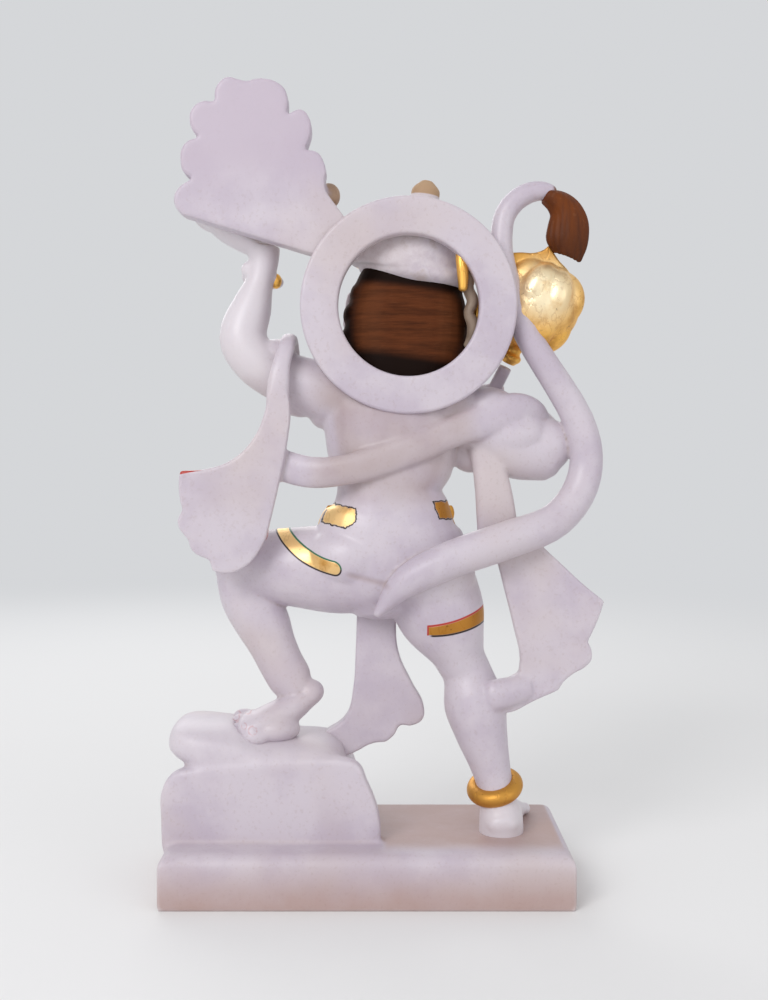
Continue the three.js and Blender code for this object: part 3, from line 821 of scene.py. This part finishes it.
def gilded_marble(finish):
    """Marble with gilded hems and their painted outlines, belt ends, nails and a red corner."""
    base, grain, clouds = stone(finish)
    x, y, z = finish.axes()
    # Painted light on the hems: the leaf darker towards the figure's right and paler towards its left,
    # as the light falls
    gold, gold_rough, gold_bump = leaf(finish, 0.12 + (1 - x.over(-60, 0)) * 0.58, x.over(-30, 0) * 0.3)
    wobble = (finish.noise(70, detail=3) - 0.5) * 3.0
    right_gold, right_red, right_dark = thigh_hem(x, y, z, wobble)
    left_gold, left_green, left_dark = seat_hem(x, y, z, wobble)
    front_gold, front_red = front_hem(x, y, z)
    belt_gold, belt_dark = belt_patches(finish, x, y, z)

    # The crease that carries the hem on towards the tail, grooved in the bump and darkened with painted
    # shade
    shaded_fold = 1 - (abs(z - 241.6 + (19 - x) * 0.25) / 4).over(0, 1)
    shaded_fold = shaded_fold * x.within(-16, 15, 3) * y.over(20, 24)

    # The tail's brown end
    brush = (finish.noise(150, detail=4, stretch=(0.4, 1, 1)) - 0.5) * 9
    tail_end = (1 - (x + (z - 530) * 0.35 + brush).over(-143, -139)) * z.over(498, 501)

    # Painted highlight: the left arm and the right heel made paler, as if lit more
    lit_patches = x.over(66, 84) * z.over(376, 396) | z.within(34, 72, 4) * (1 - x.over(-80, -72))
    base = finish.mix(lit_patches * 0.7, base, paint("marble_rim"))
    # Painted shadow: patchy darkening of the back under the halo
    halo_shadow = x.within(-78, 40, 12) * z.within(296, 396, 14) * y.over(14, 22) * finish.noise(24, detail=4)
    base = finish.mix(halo_shadow * 0.7, base, paint("dust"))
    lines = finish.mix(shaded_fold * 0.30, base, paint("dust"))
    lines = finish.mix(belt_dark, lines, paint("dark"))
    lines = finish.mix(right_dark | left_dark, lines, paint("dark"))
    lines = finish.mix(left_green, lines, paint("green"))
    red = right_red | front_red | red_touches(x, y, z) | nail_rings(finish, x, y, z) * 0.27
    lines = finish.mix(red, lines, paint("red"))
    gilt = (right_gold | left_gold) | (front_gold | belt_gold)
    shade = finish.mix(gilt, lines, gold)
    shade = finish.mix(tail_end, shade, paint("tuft"))
    rough = gilt * gold_rough + (1 - gilt) * (clouds * 0.16 + 0.30)
    height = grain * 0.35 * (1 - gilt) + gilt * (gold_bump * 0.5 + 3) - shaded_fold * 4
    polish(finish, shade, rough, height, 0.3, metallic=gilt * 0.85)


def burnished_leaf(finish):
    """Leaf under a thin coat, deeper in colour on the anklet and at the top of the mace, with a painted
    highlight on the mace head.
    """
    x, _, z = finish.axes()
    low = 1 - z.over(110, 130)
    crest = z.over(474, 490) * (1 - x.over(-104, -100))
    # Painted highlight: a pale spot on the mace head
    highlight_spot = 1 - apart(x + 135, z - 455).over(8, 36)
    base, rough, height = leaf(finish, (low * 0.5) | (crest * 0.6), highlight_spot * 0.8)
    finish.set(base_color=base, roughness=rough, metallic=0.85, coat_weight=(1 - low) * 0.2,
               coat_roughness=0.4, normal=finish.bump(height, 0.5, 0.0006))


def brushed_brown(finish):
    """Brown paint brushed across the back of the head, with painted shadow darkening it all round its
    edge and a painted sheen.
    """
    x, y, z = finish.axes()
    tilt = z + (x + 31) * -0.14
    strokes = finish.noise(34, detail=6, stretch=(1, 1, 9), turn=(0, 0.14, 0), roughness=0.6)
    fine = finish.noise(110, detail=4, stretch=(1, 1, 16), turn=(0, 0.14, 0))
    back = y.over(-14, 6)
    # Painted highlight: lighter vertical bands of sheen
    painted_sheen = (1 - abs(x).over(3, 17)) * 0.5 | (1 - abs(x + 63).over(3, 13)) * 0.4
    base = finish.mix(strokes.over(0.30, 0.75) * 0.55, paint("hair"), paint("hair_dark"))
    base = finish.mix(fine.over(0.55, 0.80) * 0.30, base, paint("hair_light"))
    base = finish.mix(painted_sheen * back * 0.3, base, paint("hair_light"))
    # Painted shadow: darker all round the edge of the hair, under the crown and at the bottom
    reach = ((x + 30) / 46) ** 4 + ((tilt - 432) / 35) ** 4
    reach = reach | (1 - tilt.over(388, 424)) * 1.5 | tilt.over(448, 466) * 1.1
    base = finish.mix(reach.over(0.36, 1.02) * (back * 0.62 + 0.38), base, paint("hair_dark"))
    finish.set(base_color=base, roughness=0.6, specular_ior_level=0.05,
               normal=finish.bump(strokes + fine * 0.4, 0.25, 0.0006))


def strand_brown(finish):
    """Brown paint on the strands of the tail's tuft."""
    strokes = finish.noise(40, detail=5, stretch=(7, 4, 0.8), turn=(0, 0.1, 0), roughness=0.6)
    specks = finish.noise(260, detail=3)
    base = finish.mix(strokes.over(0.35, 0.7) * 0.7, paint("tuft"), paint("tuft_dark"))
    base = finish.mix(specks.over(0.62, 0.75) * 0.15, base, paint("tuft_speck"))
    _, _, z = finish.axes()
    base = finish.mix((1 - z.over(478, 520)) * 0.45, base, paint("hair_dark"))
    finish.set(base_color=base, roughness=0.5, specular_ior_level=0.15,
               normal=finish.bump(strokes, 0.3, 0.0008))


def taupe_paint(finish):
    """Grey brown paint with brushed patches."""
    brush = finish.noise(120, detail=4, stretch=(1, 1, 0.4))
    base = finish.mix(brush.over(0.4, 0.7) * 0.6, paint("taupe"), paint("taupe_dark"))
    finish.set(base_color=base, roughness=brush * 0.2 + 0.4, normal=finish.bump(brush, 0.2, 0.0004))


def painted_hill(finish):
    """Marble painted darker towards the hill's top as shade, with ochre paint on the lobes in front and
    painted shade between them.
    """
    base, grain, clouds = stone(finish)
    _, y, z = finish.axes()
    wobble = (finish.noise(60, detail=4) - 0.5) * 6
    # Painted shade: the hill darker towards its top
    base = finish.mix(z.over(515, 560) * 0.8, base, paint("marble_grey"))
    painted = 1 - (y + wobble).over(6.5, 9)
    brush = finish.noise(48, detail=7, roughness=0.7)
    lobes = finish.mix(brush.over(0.36, 0.66), paint("ochre"), paint("ochre_dark"))
    # Painted shade: darker ochre in the hollows between the lobes
    hollow_shade = 1 - finish.node("ShaderNodeVertexColor", {"layer_name": "crease"}, {}).over(0.36, 0.49)
    lobes = finish.mix(hollow_shade * 0.7, lobes, paint("ochre_hollow"))
    base = finish.mix(painted * 0.92, base, lobes)
    polish(finish, base, clouds * 0.16 + 0.34, grain + brush * 1.5)


def plain_floor(finish):
    """A pale floor that fades into the colour of the room, far from the statue."""
    x, y, _ = finish.parts()
    haze = apart(x, y).over(0.6, 2.6)
    base = finish.mix(finish.noise(3, detail=2) * 0.05, paint("floor"), paint("floor_cloud"))
    finish.set(base_color=finish.mix(haze, base, BLACK), roughness=0.9, specular_ior_level=0.0,
               emission_color=finish.mix(haze, BLACK, [ROOM * share for share in AIR]),
               emission_strength=1.0)


def mark_creases(piece):
    """Writes hollows darker and rims lighter than one half in a piece's own colour layer."""
    only(piece)
    layer = piece.data.color_attributes.new("crease", "FLOAT_COLOR", "CORNER")
    piece.data.color_attributes.active_color = layer
    layer.data.foreach_set("color", [1.0] * 4 * len(piece.data.loops))
    bpy.ops.object.mode_set(mode="VERTEX_PAINT")
    bpy.ops.paint.vertex_color_dirt(
        blur_strength=1, blur_iterations=4, clean_angle=math.pi, dirt_angle=0, normalize=False)
    bpy.ops.object.mode_set(mode="OBJECT")


def material_of(recipe):
    """The material that a recipe gives, made the first time it is asked for."""
    name = recipe.__name__
    if name not in bpy.data.materials:
        recipe(Finish(name))
    return bpy.data.materials[name]


# ---- One operator for each piece

class STATUE_OT_base(bpy.types.Operator):
    """Carve the plinth and the rock under the left foot"""
    bl_idname = "statue.base"
    bl_label = "Plinth and Rock"

    def execute(self, context):
        size = sizes()
        bpy.ops.mesh.primitive_cube_add(size=1, location=(0, 0, size.plinth_height / 2))
        plinth = bpy.context.object
        plinth.scale = (size.plinth_length, size.plinth_depth, size.plinth_height)
        settle()
        bpy.ops.object.mode_set(mode="EDIT")
        choose(lambda vertex: vertex.co.z > size.plinth_height / 2)
        bpy.ops.mesh.bevel(offset=size.plinth_edge, segments=6, affect="EDGES")
        bpy.ops.object.mode_set(mode="OBJECT")
        plate = slab((-10.5, -8), [
            [(154.5, -8)], [(155, 20), (155, 37), (146, 52), (126, 55.5)], [(23, 64)],
            [(6.2, 58.7), (0.5, 46.4), (-5, 34), (-9, 20), (-10.5, -8)]], 42, 16)
        round_corners(0.005)
        block = slab((-5, -8), [
            [(150, -8)], [(151, 18), (147, 34), (136, 44), (122, 50)], [(28, 60)],
            [(16, 52), (9, 36), (1, 18), (-5, -8)]], 34, 90)
        round_corners(0.006)
        upper = loft([
            [23, -7, 55, 10, 43], [33, -7, 56, 16, 47], [58, -7, 56, 18, 47], [86, -7, 56.5, 18, 47],
            [103, -7, 62.5, 19.5, 47], [120, -7, 66, 19, 47], [134, -7, 70, 16.5, 45],
            [144, -7, 72, 14, 40], [150, -7, 72.5, 10, 34]], square=0.4, domes=(0.4, 0.33))
        rock = fuse("marble_rock", [plate, block, upper], size.grain * 1.4, 12)
        piece = fuse("marble_base", [plinth, rock], size.grain * 1.2, 8)
        flatten_underside(piece)
        mark_creases(piece)
        dress(piece, plinth_marble)
        return {"FINISHED"}


def round_corners(width):
    """Rounds the sharp edges of the active piece."""
    finish_with("BEVEL", width=width, segments=5, limit_method="ANGLE", angle_limit=math.radians(50))


def flatten_underside(piece):
    """Rubs the underside level with the ground."""
    only(piece)
    bpy.ops.object.mode_set(mode="EDIT")
    choose(lambda vertex: vertex.co.z < FLAT_BELOW)
    bpy.ops.transform.resize(value=(1, 1, 0), center_override=(0, 0, 0))
    bpy.ops.object.mode_set(mode="OBJECT")


class STATUE_OT_figure(bpy.types.Operator):
    """Carve the body, limbs, tail and sash"""
    bl_idname = "statue.figure"
    bl_label = "Figure and Sash"

    def execute(self, context):
        shaft = loft([[0, 0, -2, 5.5, 5.5], [0, 0, 60, 5.5, 5.5]], mace_frame, steps=1)
        parts = (right_leg, left_leg, torso, left_arm, right_arm, drape, sash, tail)
        forms = [form for part in parts for form in part()] + [shaft]
        piece = fuse("marble_figure", forms, sizes().grain, 9)
        mark_creases(piece)
        dress(piece, gilded_marble)
        return {"FINISHED"}


class STATUE_OT_halo(bpy.types.Operator):
    """Carve the flat halo ring"""
    bl_idname = "statue.halo"
    bl_label = "Halo"

    def execute(self, context):
        size = sizes()
        centre = body_frame() @ Vector(HALO_CENTRE)
        middle = (centre.x, size.halo_back, centre.z)
        bpy.ops.mesh.primitive_circle_add(
            vertices=160, radius=size.halo_radius, location=middle, rotation=(math.pi / 2, 0, 0))
        settle()
        hole = size.halo_hole / size.halo_radius
        bpy.ops.object.mode_set(mode="EDIT")
        bpy.ops.mesh.select_all(action="SELECT")
        bpy.ops.mesh.extrude_edges_move()
        bpy.ops.transform.resize(value=(hole, 1, hole), center_override=middle)
        bpy.ops.mesh.select_all(action="SELECT")
        bpy.ops.mesh.extrude_region_move(
            TRANSFORM_OT_translate={"value": (0, -size.halo_thickness, 0)})
        bpy.ops.mesh.select_all(action="SELECT")
        bpy.ops.mesh.normals_make_consistent(inside=False)
        bpy.ops.object.mode_set(mode="OBJECT")
        finish_with("BEVEL", width=size.halo_edge, segments=6, limit_method="ANGLE")
        finish_with("SUBSURF", levels=1, render_levels=1)
        piece = call("marble_halo")
        mark_creases(piece)
        dress(piece, polished_marble)
        return {"FINISHED"}


class STATUE_OT_hill(bpy.types.Operator):
    """Carve the hill in the raised hand"""
    bl_idname = "statue.hill"
    bl_label = "Hill"

    def execute(self, context):
        body = slab((36, 440), [
            [(132, 469)], [(140, 472), (145, 480), (143, 489), (131, 498)],
            [(138, 503), (140, 511), (139, 520), (134, 526), (125, 528)],
            [(131, 534), (133, 543), (131, 550), (124, 555), (114, 555)],
            [(114, 563), (110, 570), (104, 573.4), (97, 571.6), (90, 570)],
            [(83, 572), (76, 572), (67, 569), (61, 563), (60, 544)],
            [(55, 548), (49, 549), (44, 544), (42, 535), (44, 526), (48, 518)],
            [(44, 519), (37, 517), (33, 511), (31, 503), (32, 496), (31, 488)], [(14, 465)]], 27, 20)
        front = [ball((x, 5, z), (width, 14, height)) for x, z, width, height in (
            (112, 487, 19, 14), (84, 481, 22, 15), (58, 487, 18, 15), (108, 515, 19, 14),
            (78, 510, 24, 17), (104, 540, 16, 12), (74, 540, 18, 15), (86, 556, 17, 10),
            (54, 513, 12, 13), (124, 500, 10, 12))]
        side = ball((30, 0, 490), (9, 8, 10))
        piece = fuse("marble_hill", [body, *front, side], sizes().grain, 6)
        mark_creases(piece)
        dress(piece, painted_hill)
        return {"FINISHED"}


class STATUE_OT_head(bpy.types.Operator):
    """Carve the face, the ears and the tiered crown"""
    bl_idname = "statue.head"
    bl_label = "Head and Crown"

    def execute(self, context):
        here = head_frame

        def lump(x, y, z, *radii, turn=(0, 0, 0)):
            """A rounded lump of the head."""
            return ball((x, y, z), radii, here, turn)

        face = [lump(*row) for row in (
            (0, -14, -6, 37, 36, 38), (0, -38, -2, 26, 13, 19), (0, -46, -19, 19, 15, 13),
            (0, -40, -29, 14, 12, 8), (0, -49, -3, 5.5, 8, 14), (0, -56.2, -10, 7.5, 5, 4.5))]
        ears = []
        for side in (-1, 1):
            face += [lump(side * 14, -42, 12, 12.5, 7, 4, turn=(0, side * 0.12, 0)),
                     lump(side * 21, -34, -12, 13, 13, 15), lump(side * 4.8, -57.1, -12, 3.2, 3, 2.6)]
            rim = hoop((side * 48, -9, 3), 0.0088, 0.0024, turn=(0, math.pi / 2, 0),
                       stretch=(1.3, 1, 1), frame_of=here)
            ears += [lump(side * 43.5, -9, 2, 6, 10, 13), rim]
        face = fuse("marble_face", face, sizes().grain * 0.9, 18)
        crown = loft([
            [5, 1, 34, 45, 37], [4.6, 1, 38, 48.5, 39.5], [3.2, 1, 49, 46, 39], [1.8, 1, 60, 41, 36.5],
            [1.2, 0.5, 65, 36, 33], [0.6, 0, 75, 32, 29], [0.3, 0, 80, 25, 23], [0, 0, 90, 21, 19],
            [0, 0, 96, 12, 12], [0, 0, 104, 10.8, 10], [0, 0, 111, 4, 4]],
            here, sides=40)
        cap = ball((-3, 4, 36), (45, 36.5, 13.5), here)
        bands = ((37, 0.0405, 0.0035), (59, 0.0355, 0.0028), (75.5, 0.026, 0.0025),
                 (92, 0.0165, 0.0022))
        rims = [hoop((0, -5, z), radius, tube, stretch=(1, 0.9, 1), frame_of=here)
                for z, radius, tube in bands]
        piece = fuse("marble_head", [face, *ears, crown, cap, *rims], sizes().grain * 0.75, 5)
        mark_creases(piece)
        dress(piece, painted_face)
        return {"FINISHED"}


def painted_face(finish):
    """Marble with painted brows and lips and gilded bands on the crown."""
    base, grain, clouds = stone(finish)
    gold, gold_rough, _ = leaf(finish, 0.1, 0.15)
    x, y, z = finish.enter(head_frame)
    front = 1 - y.over(-14, -10)
    bands = (z.within(57.5, 61) | z.within(74, 77.5)) | (z.within(90.5, 94) | z.within(33.5, 40.5))
    bands = bands * front
    knob = z.over(98.5, 99.5)
    side = abs(x)
    brow = (z - 13.5 + (side - 14) ** 2 * 0.02).within(-1.0, 1.0, 0.4)
    brow = brow * side.within(5.5, 25, 0.6) * front
    lips = (z + 24 - side ** 2 * 0.010).within(-0.7, 0.7, 0.4)
    lips = lips * (1 - side.over(13, 14.5)) * (1 - y.over(-50, -46))
    cleft = (1 - side.over(0.3, 0.9)) * z.within(-23.5, -15, 0.5) * (1 - y.over(-52, -50))
    mark = (1 - apart(side, (z - 22) * 0.45).over(1.6, 2.1)) * front * (1 - z.over(27, 28))
    shade = finish.mix(brow * 0.85, base, paint("dark"))
    shade = finish.mix((lips | cleft * 0.5) * 0.8, shade, paint("lips"))
    shade = finish.mix(mark * 0.9, shade, paint("red"))
    shade = finish.mix(bands, shade, gold)
    # The back of the crown is paler in chalky patches: partly chalk, partly painted highlight lifting
    # it out of the halo's shadow
    chalk = finish.noise(0.09, detail=6, roughness=0.7)
    crown_back = z.over(20, 24) * (1 - front)
    shade = finish.mix(crown_back * chalk.over(0.35, 0.6) * 0.5, shade, paint("marble_rim"))
    settled = finish.noise(0.045, detail=6, roughness=0.65)
    shade = finish.mix(crown_back * settled.over(0.50, 0.66) * 0.4, shade, paint("dust"))
    shade = finish.mix(knob, shade, paint("ochre"))
    rough = bands * gold_rough + (1 - bands) * (clouds * 0.16 + 0.30 + crown_back * 0.25)
    polish(finish, shade, rough, grain, metallic=bands * 0.85)


class STATUE_OT_eyes(bpy.types.Operator):
    """Set the painted eyes"""
    bl_idname = "statue.eyes"
    bl_label = "Eyes"

    def execute(self, context):
        eyes = [ball((side * 14.5, -44.5, 2.5), (9.5, 7.5, 6.2), head_frame, rows=32)
                for side in (-1, 1)]
        only(*eyes)
        bpy.ops.object.join()
        piece = call("painted_eyes")
        mark_creases(piece)
        dress(piece, painted_eye)
        return {"FINISHED"}


def painted_eye(finish):
    """Marble lids with a dark lined, almond eye between them."""
    base, grain, clouds = stone(finish)
    x, _, z = finish.enter(head_frame)
    across, up = abs(x) - 14.5, z - 2.5
    lid = abs(up) - (1 - (across / 7.6) ** 2) * 3.5
    far = apart(across, up - 0.4)
    shade = finish.mix(1 - far.over(3.0, 3.4), paint("eye_white"), paint("iris"))
    shade = finish.mix(1 - far.over(1.5, 1.8), shade, paint("pupil"))
    shade = finish.mix(lid.over(-0.9, -0.5), shade, paint("dark"))
    shade = finish.mix(lid.over(0.2, 0.6), shade, base)
    polish(finish, shade, clouds * 0.16 + 0.26, grain)


class STATUE_OT_hair(bpy.types.Operator):
    """Shape the hair under the crown"""
    bl_idname = "statue.hair"
    bl_label = "Hair"

    def execute(self, context):
        block = loft([
            [0, 2, 35, 38, 30], [1, 2, 22, 43, 33], [1, 2, 6, 46.5, 34], [0, 3, -10, 48, 34],
            [-1, 5, -26, 46.5, 33], [-3, 9, -40, 42, 32], [-4, 12, -54, 34, 30]], head_frame,
            square=0.35, domes=(0, 0.3))
        locks = [ball((side * reach, 8, height), (5.5, 14, 9), head_frame) for side, reach, height in (
            (1, 42, 14), (1, 45, -2), (1, 44, -19), (-1, 43, 4), (-1, 44, -14), (-1, 42, -31))]
        for i in range(15):
            angle = math.radians(i * 230 / 14 - 205)
            place = (37 * math.cos(angle), -24, 37 * math.sin(angle) - 7)
            locks.append(ball(place, (9, 9, 5.2), head_frame, turn=(0, -angle, 0)))
        piece = fuse("brown_hair", [block, *locks], sizes().grain, 3)
        dress(piece, brushed_brown)
        return {"FINISHED"}


class STATUE_OT_strip(bpy.types.Operator):
    """Shape the taupe lock beside the ear"""
    bl_idname = "statue.strip"
    bl_label = "Side Lock"

    def execute(self, context):
        lock = loft([
            [-73.5, 14, 436, 2.6, 5], [-77, 14, 427, 4, 6], [-76.5, 14, 417, 4.4, 6],
            [-80, 14, 408, 4.6, 6], [-77, 13, 399, 4, 6], [-80.5, 12, 390, 5, 6],
            [-79.5, 11, 381, 4.2, 6], [-75.5, 10, 374, 2.6, 4]],
            sides=16, steps=5, domes=(0.5, 0.6))
        piece = fuse("taupe_lock", [lock], sizes().grain * 0.8, 3)
        dress(piece, taupe_paint)
        return {"FINISHED"}


class STATUE_OT_tuft(bpy.types.Operator):
    """Shape the leaf of strands at the tail's end"""
    bl_idname = "statue.tuft"
    bl_label = "Tail Tuft"

    def execute(self, context):
        inner = ((-137, 486.5), (-142, 481), (-144.5, 474), (-142.5, 465), (-141.5, 456), (-144, 447.5))
        outer = ((-139, 489.5), (-150, 487), (-159, 480), (-164.5, 468), (-164, 453), (-162, 440.5))
        strands = 7
        locks = []
        for i in range(strands):
            share = i / (strands - 1)
            bow = 5 * math.sin(math.pi * share)
            rows = [[a + (c - a) * share, 5 + bow, b + (d - b) * share, 5, 4.8]
                    for (a, b), (c, d) in zip(inner, outer)]
            rows[-1][3:] = [2.4, 2.6]
            locks.append(loft(rows, sides=12, domes=(0.6, 0.9)))
        piece = fuse("brown_tuft", locks, sizes().grain * 0.6, 4)
        dress(piece, strand_brown)
        return {"FINISHED"}


class STATUE_OT_mace(bpy.types.Operator):
    """Shape the lobed head, the collar and the foot of the mace"""
    bl_idname = "statue.mace"
    bl_label = "Mace"

    def execute(self, context):
        size = sizes()
        radius = size.mace_radius * DRAWN_HEIGHT / size.figure_height
        lobes = 8
        tiers = ((0.30, 0.32, (0.64, 0.42, 0.64)), (-0.28, 0.31, (0.65, 0.44, 0.66)))
        core = ball((0, 0, 0), (0.94 * radius,) * 3, mace_head_frame, rows=32)
        gores = [core]
        for i in range(lobes):
            angle = 2 * math.pi * (i + 0.5) / lobes
            for rise, reach, radii in tiers:
                place = Vector((reach * math.cos(angle), reach * math.sin(angle), rise)) * radius
                gores.append(ball(place, Vector(radii) * radius, mace_head_frame, turn=(0, 0, angle)))
        foot, head, _ = mace_line()
        neck = (head - foot).length - radius
        collar = loft([
            [0, 0, neck - 14, 5.7, 5.7], [0, 0, neck - 12, 6.5, 6.5], [0, 0, neck - 10, 8.4, 8.4],
            [0, 0, neck - 7, 8.6, 8.6], [0, 0, neck - 5, 6.4, 6.4], [0, 0, neck - 1, 6.4, 6.4],
            [0, 0, neck + 6, 13, 13]], mace_frame)
        pommel = loft([
            [0, 0, -6, 4, 4], [0, 0, -3, 8, 8], [0, 0, 2, 9.5, 9.5], [0, 0, 6, 8, 8],
            [0, 0, 9, 5.8, 5.8]], mace_frame)
        web = slab((-108, 424), [
            [(-109, 446)], [(-118, 446.5), (-127, 446), (-136, 449), (-139, 452)], [(-147, 440)],
            [(-155, 431), (-159, 420)]], 5, 12)
        piece = fuse("gilt_mace", [*gores, collar, pommel, web], size.grain * 0.8, 5)
        dress(piece, burnished_leaf)
        return {"FINISHED"}


class STATUE_OT_jewels(bpy.types.Operator):
    """Shape the anklet, the belt, the necklace and the ornaments of the head"""
    bl_idname = "statue.jewels"
    bl_label = "Gilded Jewels"

    def execute(self, context):
        size = sizes()
        anklet = hoop((-98.5, 6, 33.5), size.anklet_radius, size.anklet_tube, turn=(-0.32, 0.21, 0),
                      stretch=(1, 1.05, 1), around=96, across=24)
        belt = loft([
            [x, y, 245.5, 6.5, 3] for x, y in (
                (-64.5, -3), (-63, -12), (-57, -22), (-46, -30), (-32, -35), (-16, -37), (0, -35),
                (14, -30), (24, -22), (29, -12), (30.5, -3))], sides=16)
        buckle = [ball((-16, -42, 242), (13, 5, 11)), ball((-16, -46, 242), (7, 4, 6))]
        necklace = hoop((-28, -16, 343), 0.027, 0.0036, turn=(0.5, 0.05, 0), stretch=(1.1, 0.95, 1))
        pendant = [ball((-26, -40, 326), (6, 4, 7)), ball((-26, -43, 326), (3.4, 3, 4))]
        crest = slab((-14, 32), [
            [(14, 32)], [(16, 50), (8, 68), (0, 80)], [(-8, 68), (-16, 50), (-14, 32)]],
            -34, 8, head_frame)
        stud = ball((0, -42.5, 52), (5, 4, 9), head_frame)
        discs = [ball((side * 45, -24, -19), (4.5, 8, 8), head_frame) for side in (-1, 1)]
        drops = [ball((side * 44, -24, -31), (3.4, 4.4, 5.6), head_frame) for side in (-1, 1)]
        plume = loft([
            [-72, 22, 416, 3.4, 4], [-72, 22, 424, 4.2, 4.5], [-71.5, 22, 433, 4.6, 4.5],
            [-70.5, 21, 441, 4.2, 4], [-69.5, 20, 447, 2.4, 3]], sides=16, domes=(0.6, 0.8))
        sliver = loft([
            [-82, 8, 414, 1.6, 3], [-83.5, 8, 406, 2.4, 4], [-83.5, 8, 397, 2.4, 4],
            [-82, 8, 390, 1.4, 3]], sides=12, domes=(0.6, 0.6))
        bead = ball((71.5, -8, 426), (4.6, 5, 6))
        forms = [anklet, bead, belt, *buckle, necklace, *pendant, crest, stud, *discs, *drops, plume,
                 sliver]
        piece = fuse("gilt_jewels", forms, size.grain * 0.75, 2)
        dress(piece, burnished_leaf)
        return {"FINISHED"}


class STATUE_OT_stage(bpy.types.Operator):
    """Set the floor, the soft lights and the camera"""
    bl_idname = "statue.stage"
    bl_label = "Stage"

    def execute(self, context):
        only()
        bpy.ops.mesh.primitive_plane_add(size=1, location=(0, 0, 0))
        floor = bpy.context.object
        floor.name = "floor"
        bpy.ops.object.mode_set(mode="EDIT")
        bpy.ops.mesh.select_all(action="SELECT")
        bpy.ops.transform.resize(value=(60, 60, 1))
        bpy.ops.object.mode_set(mode="OBJECT")
        settle()
        floor.data.materials.append(material_of(plain_floor))

        for name, place, power, width, warmth in (
                ("key_light", (1.3, 2.3, 1.75), 39, 1.3, (0.985, 0.99, 1.0)),
                ("fill_light", (-1.6, 1.7, 0.6), 7, 1.6, (0.97, 0.98, 1.0)),
                ("front_light", (0.7, -2.0, 1.5), 14, 1.5, (0.99, 0.99, 1.0))):
            bpy.ops.object.light_add(type="AREA", location=place)
            lamp = bpy.context.object
            lamp.name, lamp.data.size, lamp.data.energy, lamp.data.color = name, width, power, warmth
            aim = Vector((0, 0, 0.3)) - Vector(place)
            lamp.rotation_euler = aim.to_track_quat("-Z", "Y").to_euler()

        world = bpy.data.worlds.new("soft_room")
        context.scene.world = world
        world.use_nodes = True
        backdrop = world.node_tree.nodes["Background"]
        backdrop.inputs["Color"].default_value = (*AIR, 1)
        backdrop.inputs["Strength"].default_value = ROOM

        bpy.ops.object.camera_add(location=CAMERA_PLACE)
        camera = bpy.context.object
        camera.data.sensor_width = SENSOR_WIDTH
        camera.data.lens = SENSOR_WIDTH * FOCAL / PHOTO_HEIGHT
        drop = math.atan((PHOTO_HEIGHT / 2 - HORIZON) / FOCAL)
        camera.rotation_euler = (math.pi / 2 - drop, 0, math.pi)
        context.scene.camera = camera
        context.scene.view_settings.view_transform = "Standard"
        return {"FINISHED"}


class STATUE_PT_panel(bpy.types.Panel):
    """Lists the sizes, the colours and the steps"""
    bl_label = "Carved Marble Statue"
    bl_idname = "STATUE_PT_panel"
    bl_space_type = "VIEW_3D"
    bl_region_type = "UI"
    bl_category = "Statue"

    def draw(self, context):
        for group in (context.scene.statue_sizes, context.scene.statue_finishes):
            box = self.layout.box()
            for name in group.__annotations__:
                box.prop(group, name)
        for step in STEPS:
            self.layout.operator(step.bl_idname)


STEPS = (STATUE_OT_base, STATUE_OT_figure, STATUE_OT_halo, STATUE_OT_hill, STATUE_OT_hair,
         STATUE_OT_head, STATUE_OT_eyes, STATUE_OT_strip, STATUE_OT_tuft, STATUE_OT_mace,
         STATUE_OT_jewels, STATUE_OT_stage)
CLASSES = (StatueSizes, StatueFinishes, *STEPS, STATUE_PT_panel)


def register():
    """Adds the classes and the scene's own properties."""
    for item in CLASSES:
        bpy.utils.register_class(item)
    bpy.types.Scene.statue_sizes = bpy.props.PointerProperty(type=StatueSizes)
    bpy.types.Scene.statue_finishes = bpy.props.PointerProperty(type=StatueFinishes)


def unregister():
    """Takes them off again."""
    del bpy.types.Scene.statue_sizes, bpy.types.Scene.statue_finishes
    for item in reversed(CLASSES):
        bpy.utils.unregister_class(item)


def main():
    """Runs every step in turn."""
    register()
    only()
    for step in STEPS:
        group, name = step.bl_idname.split(".")
        getattr(getattr(bpy.ops, group), name)()


if __name__ == "__main__":
    main()
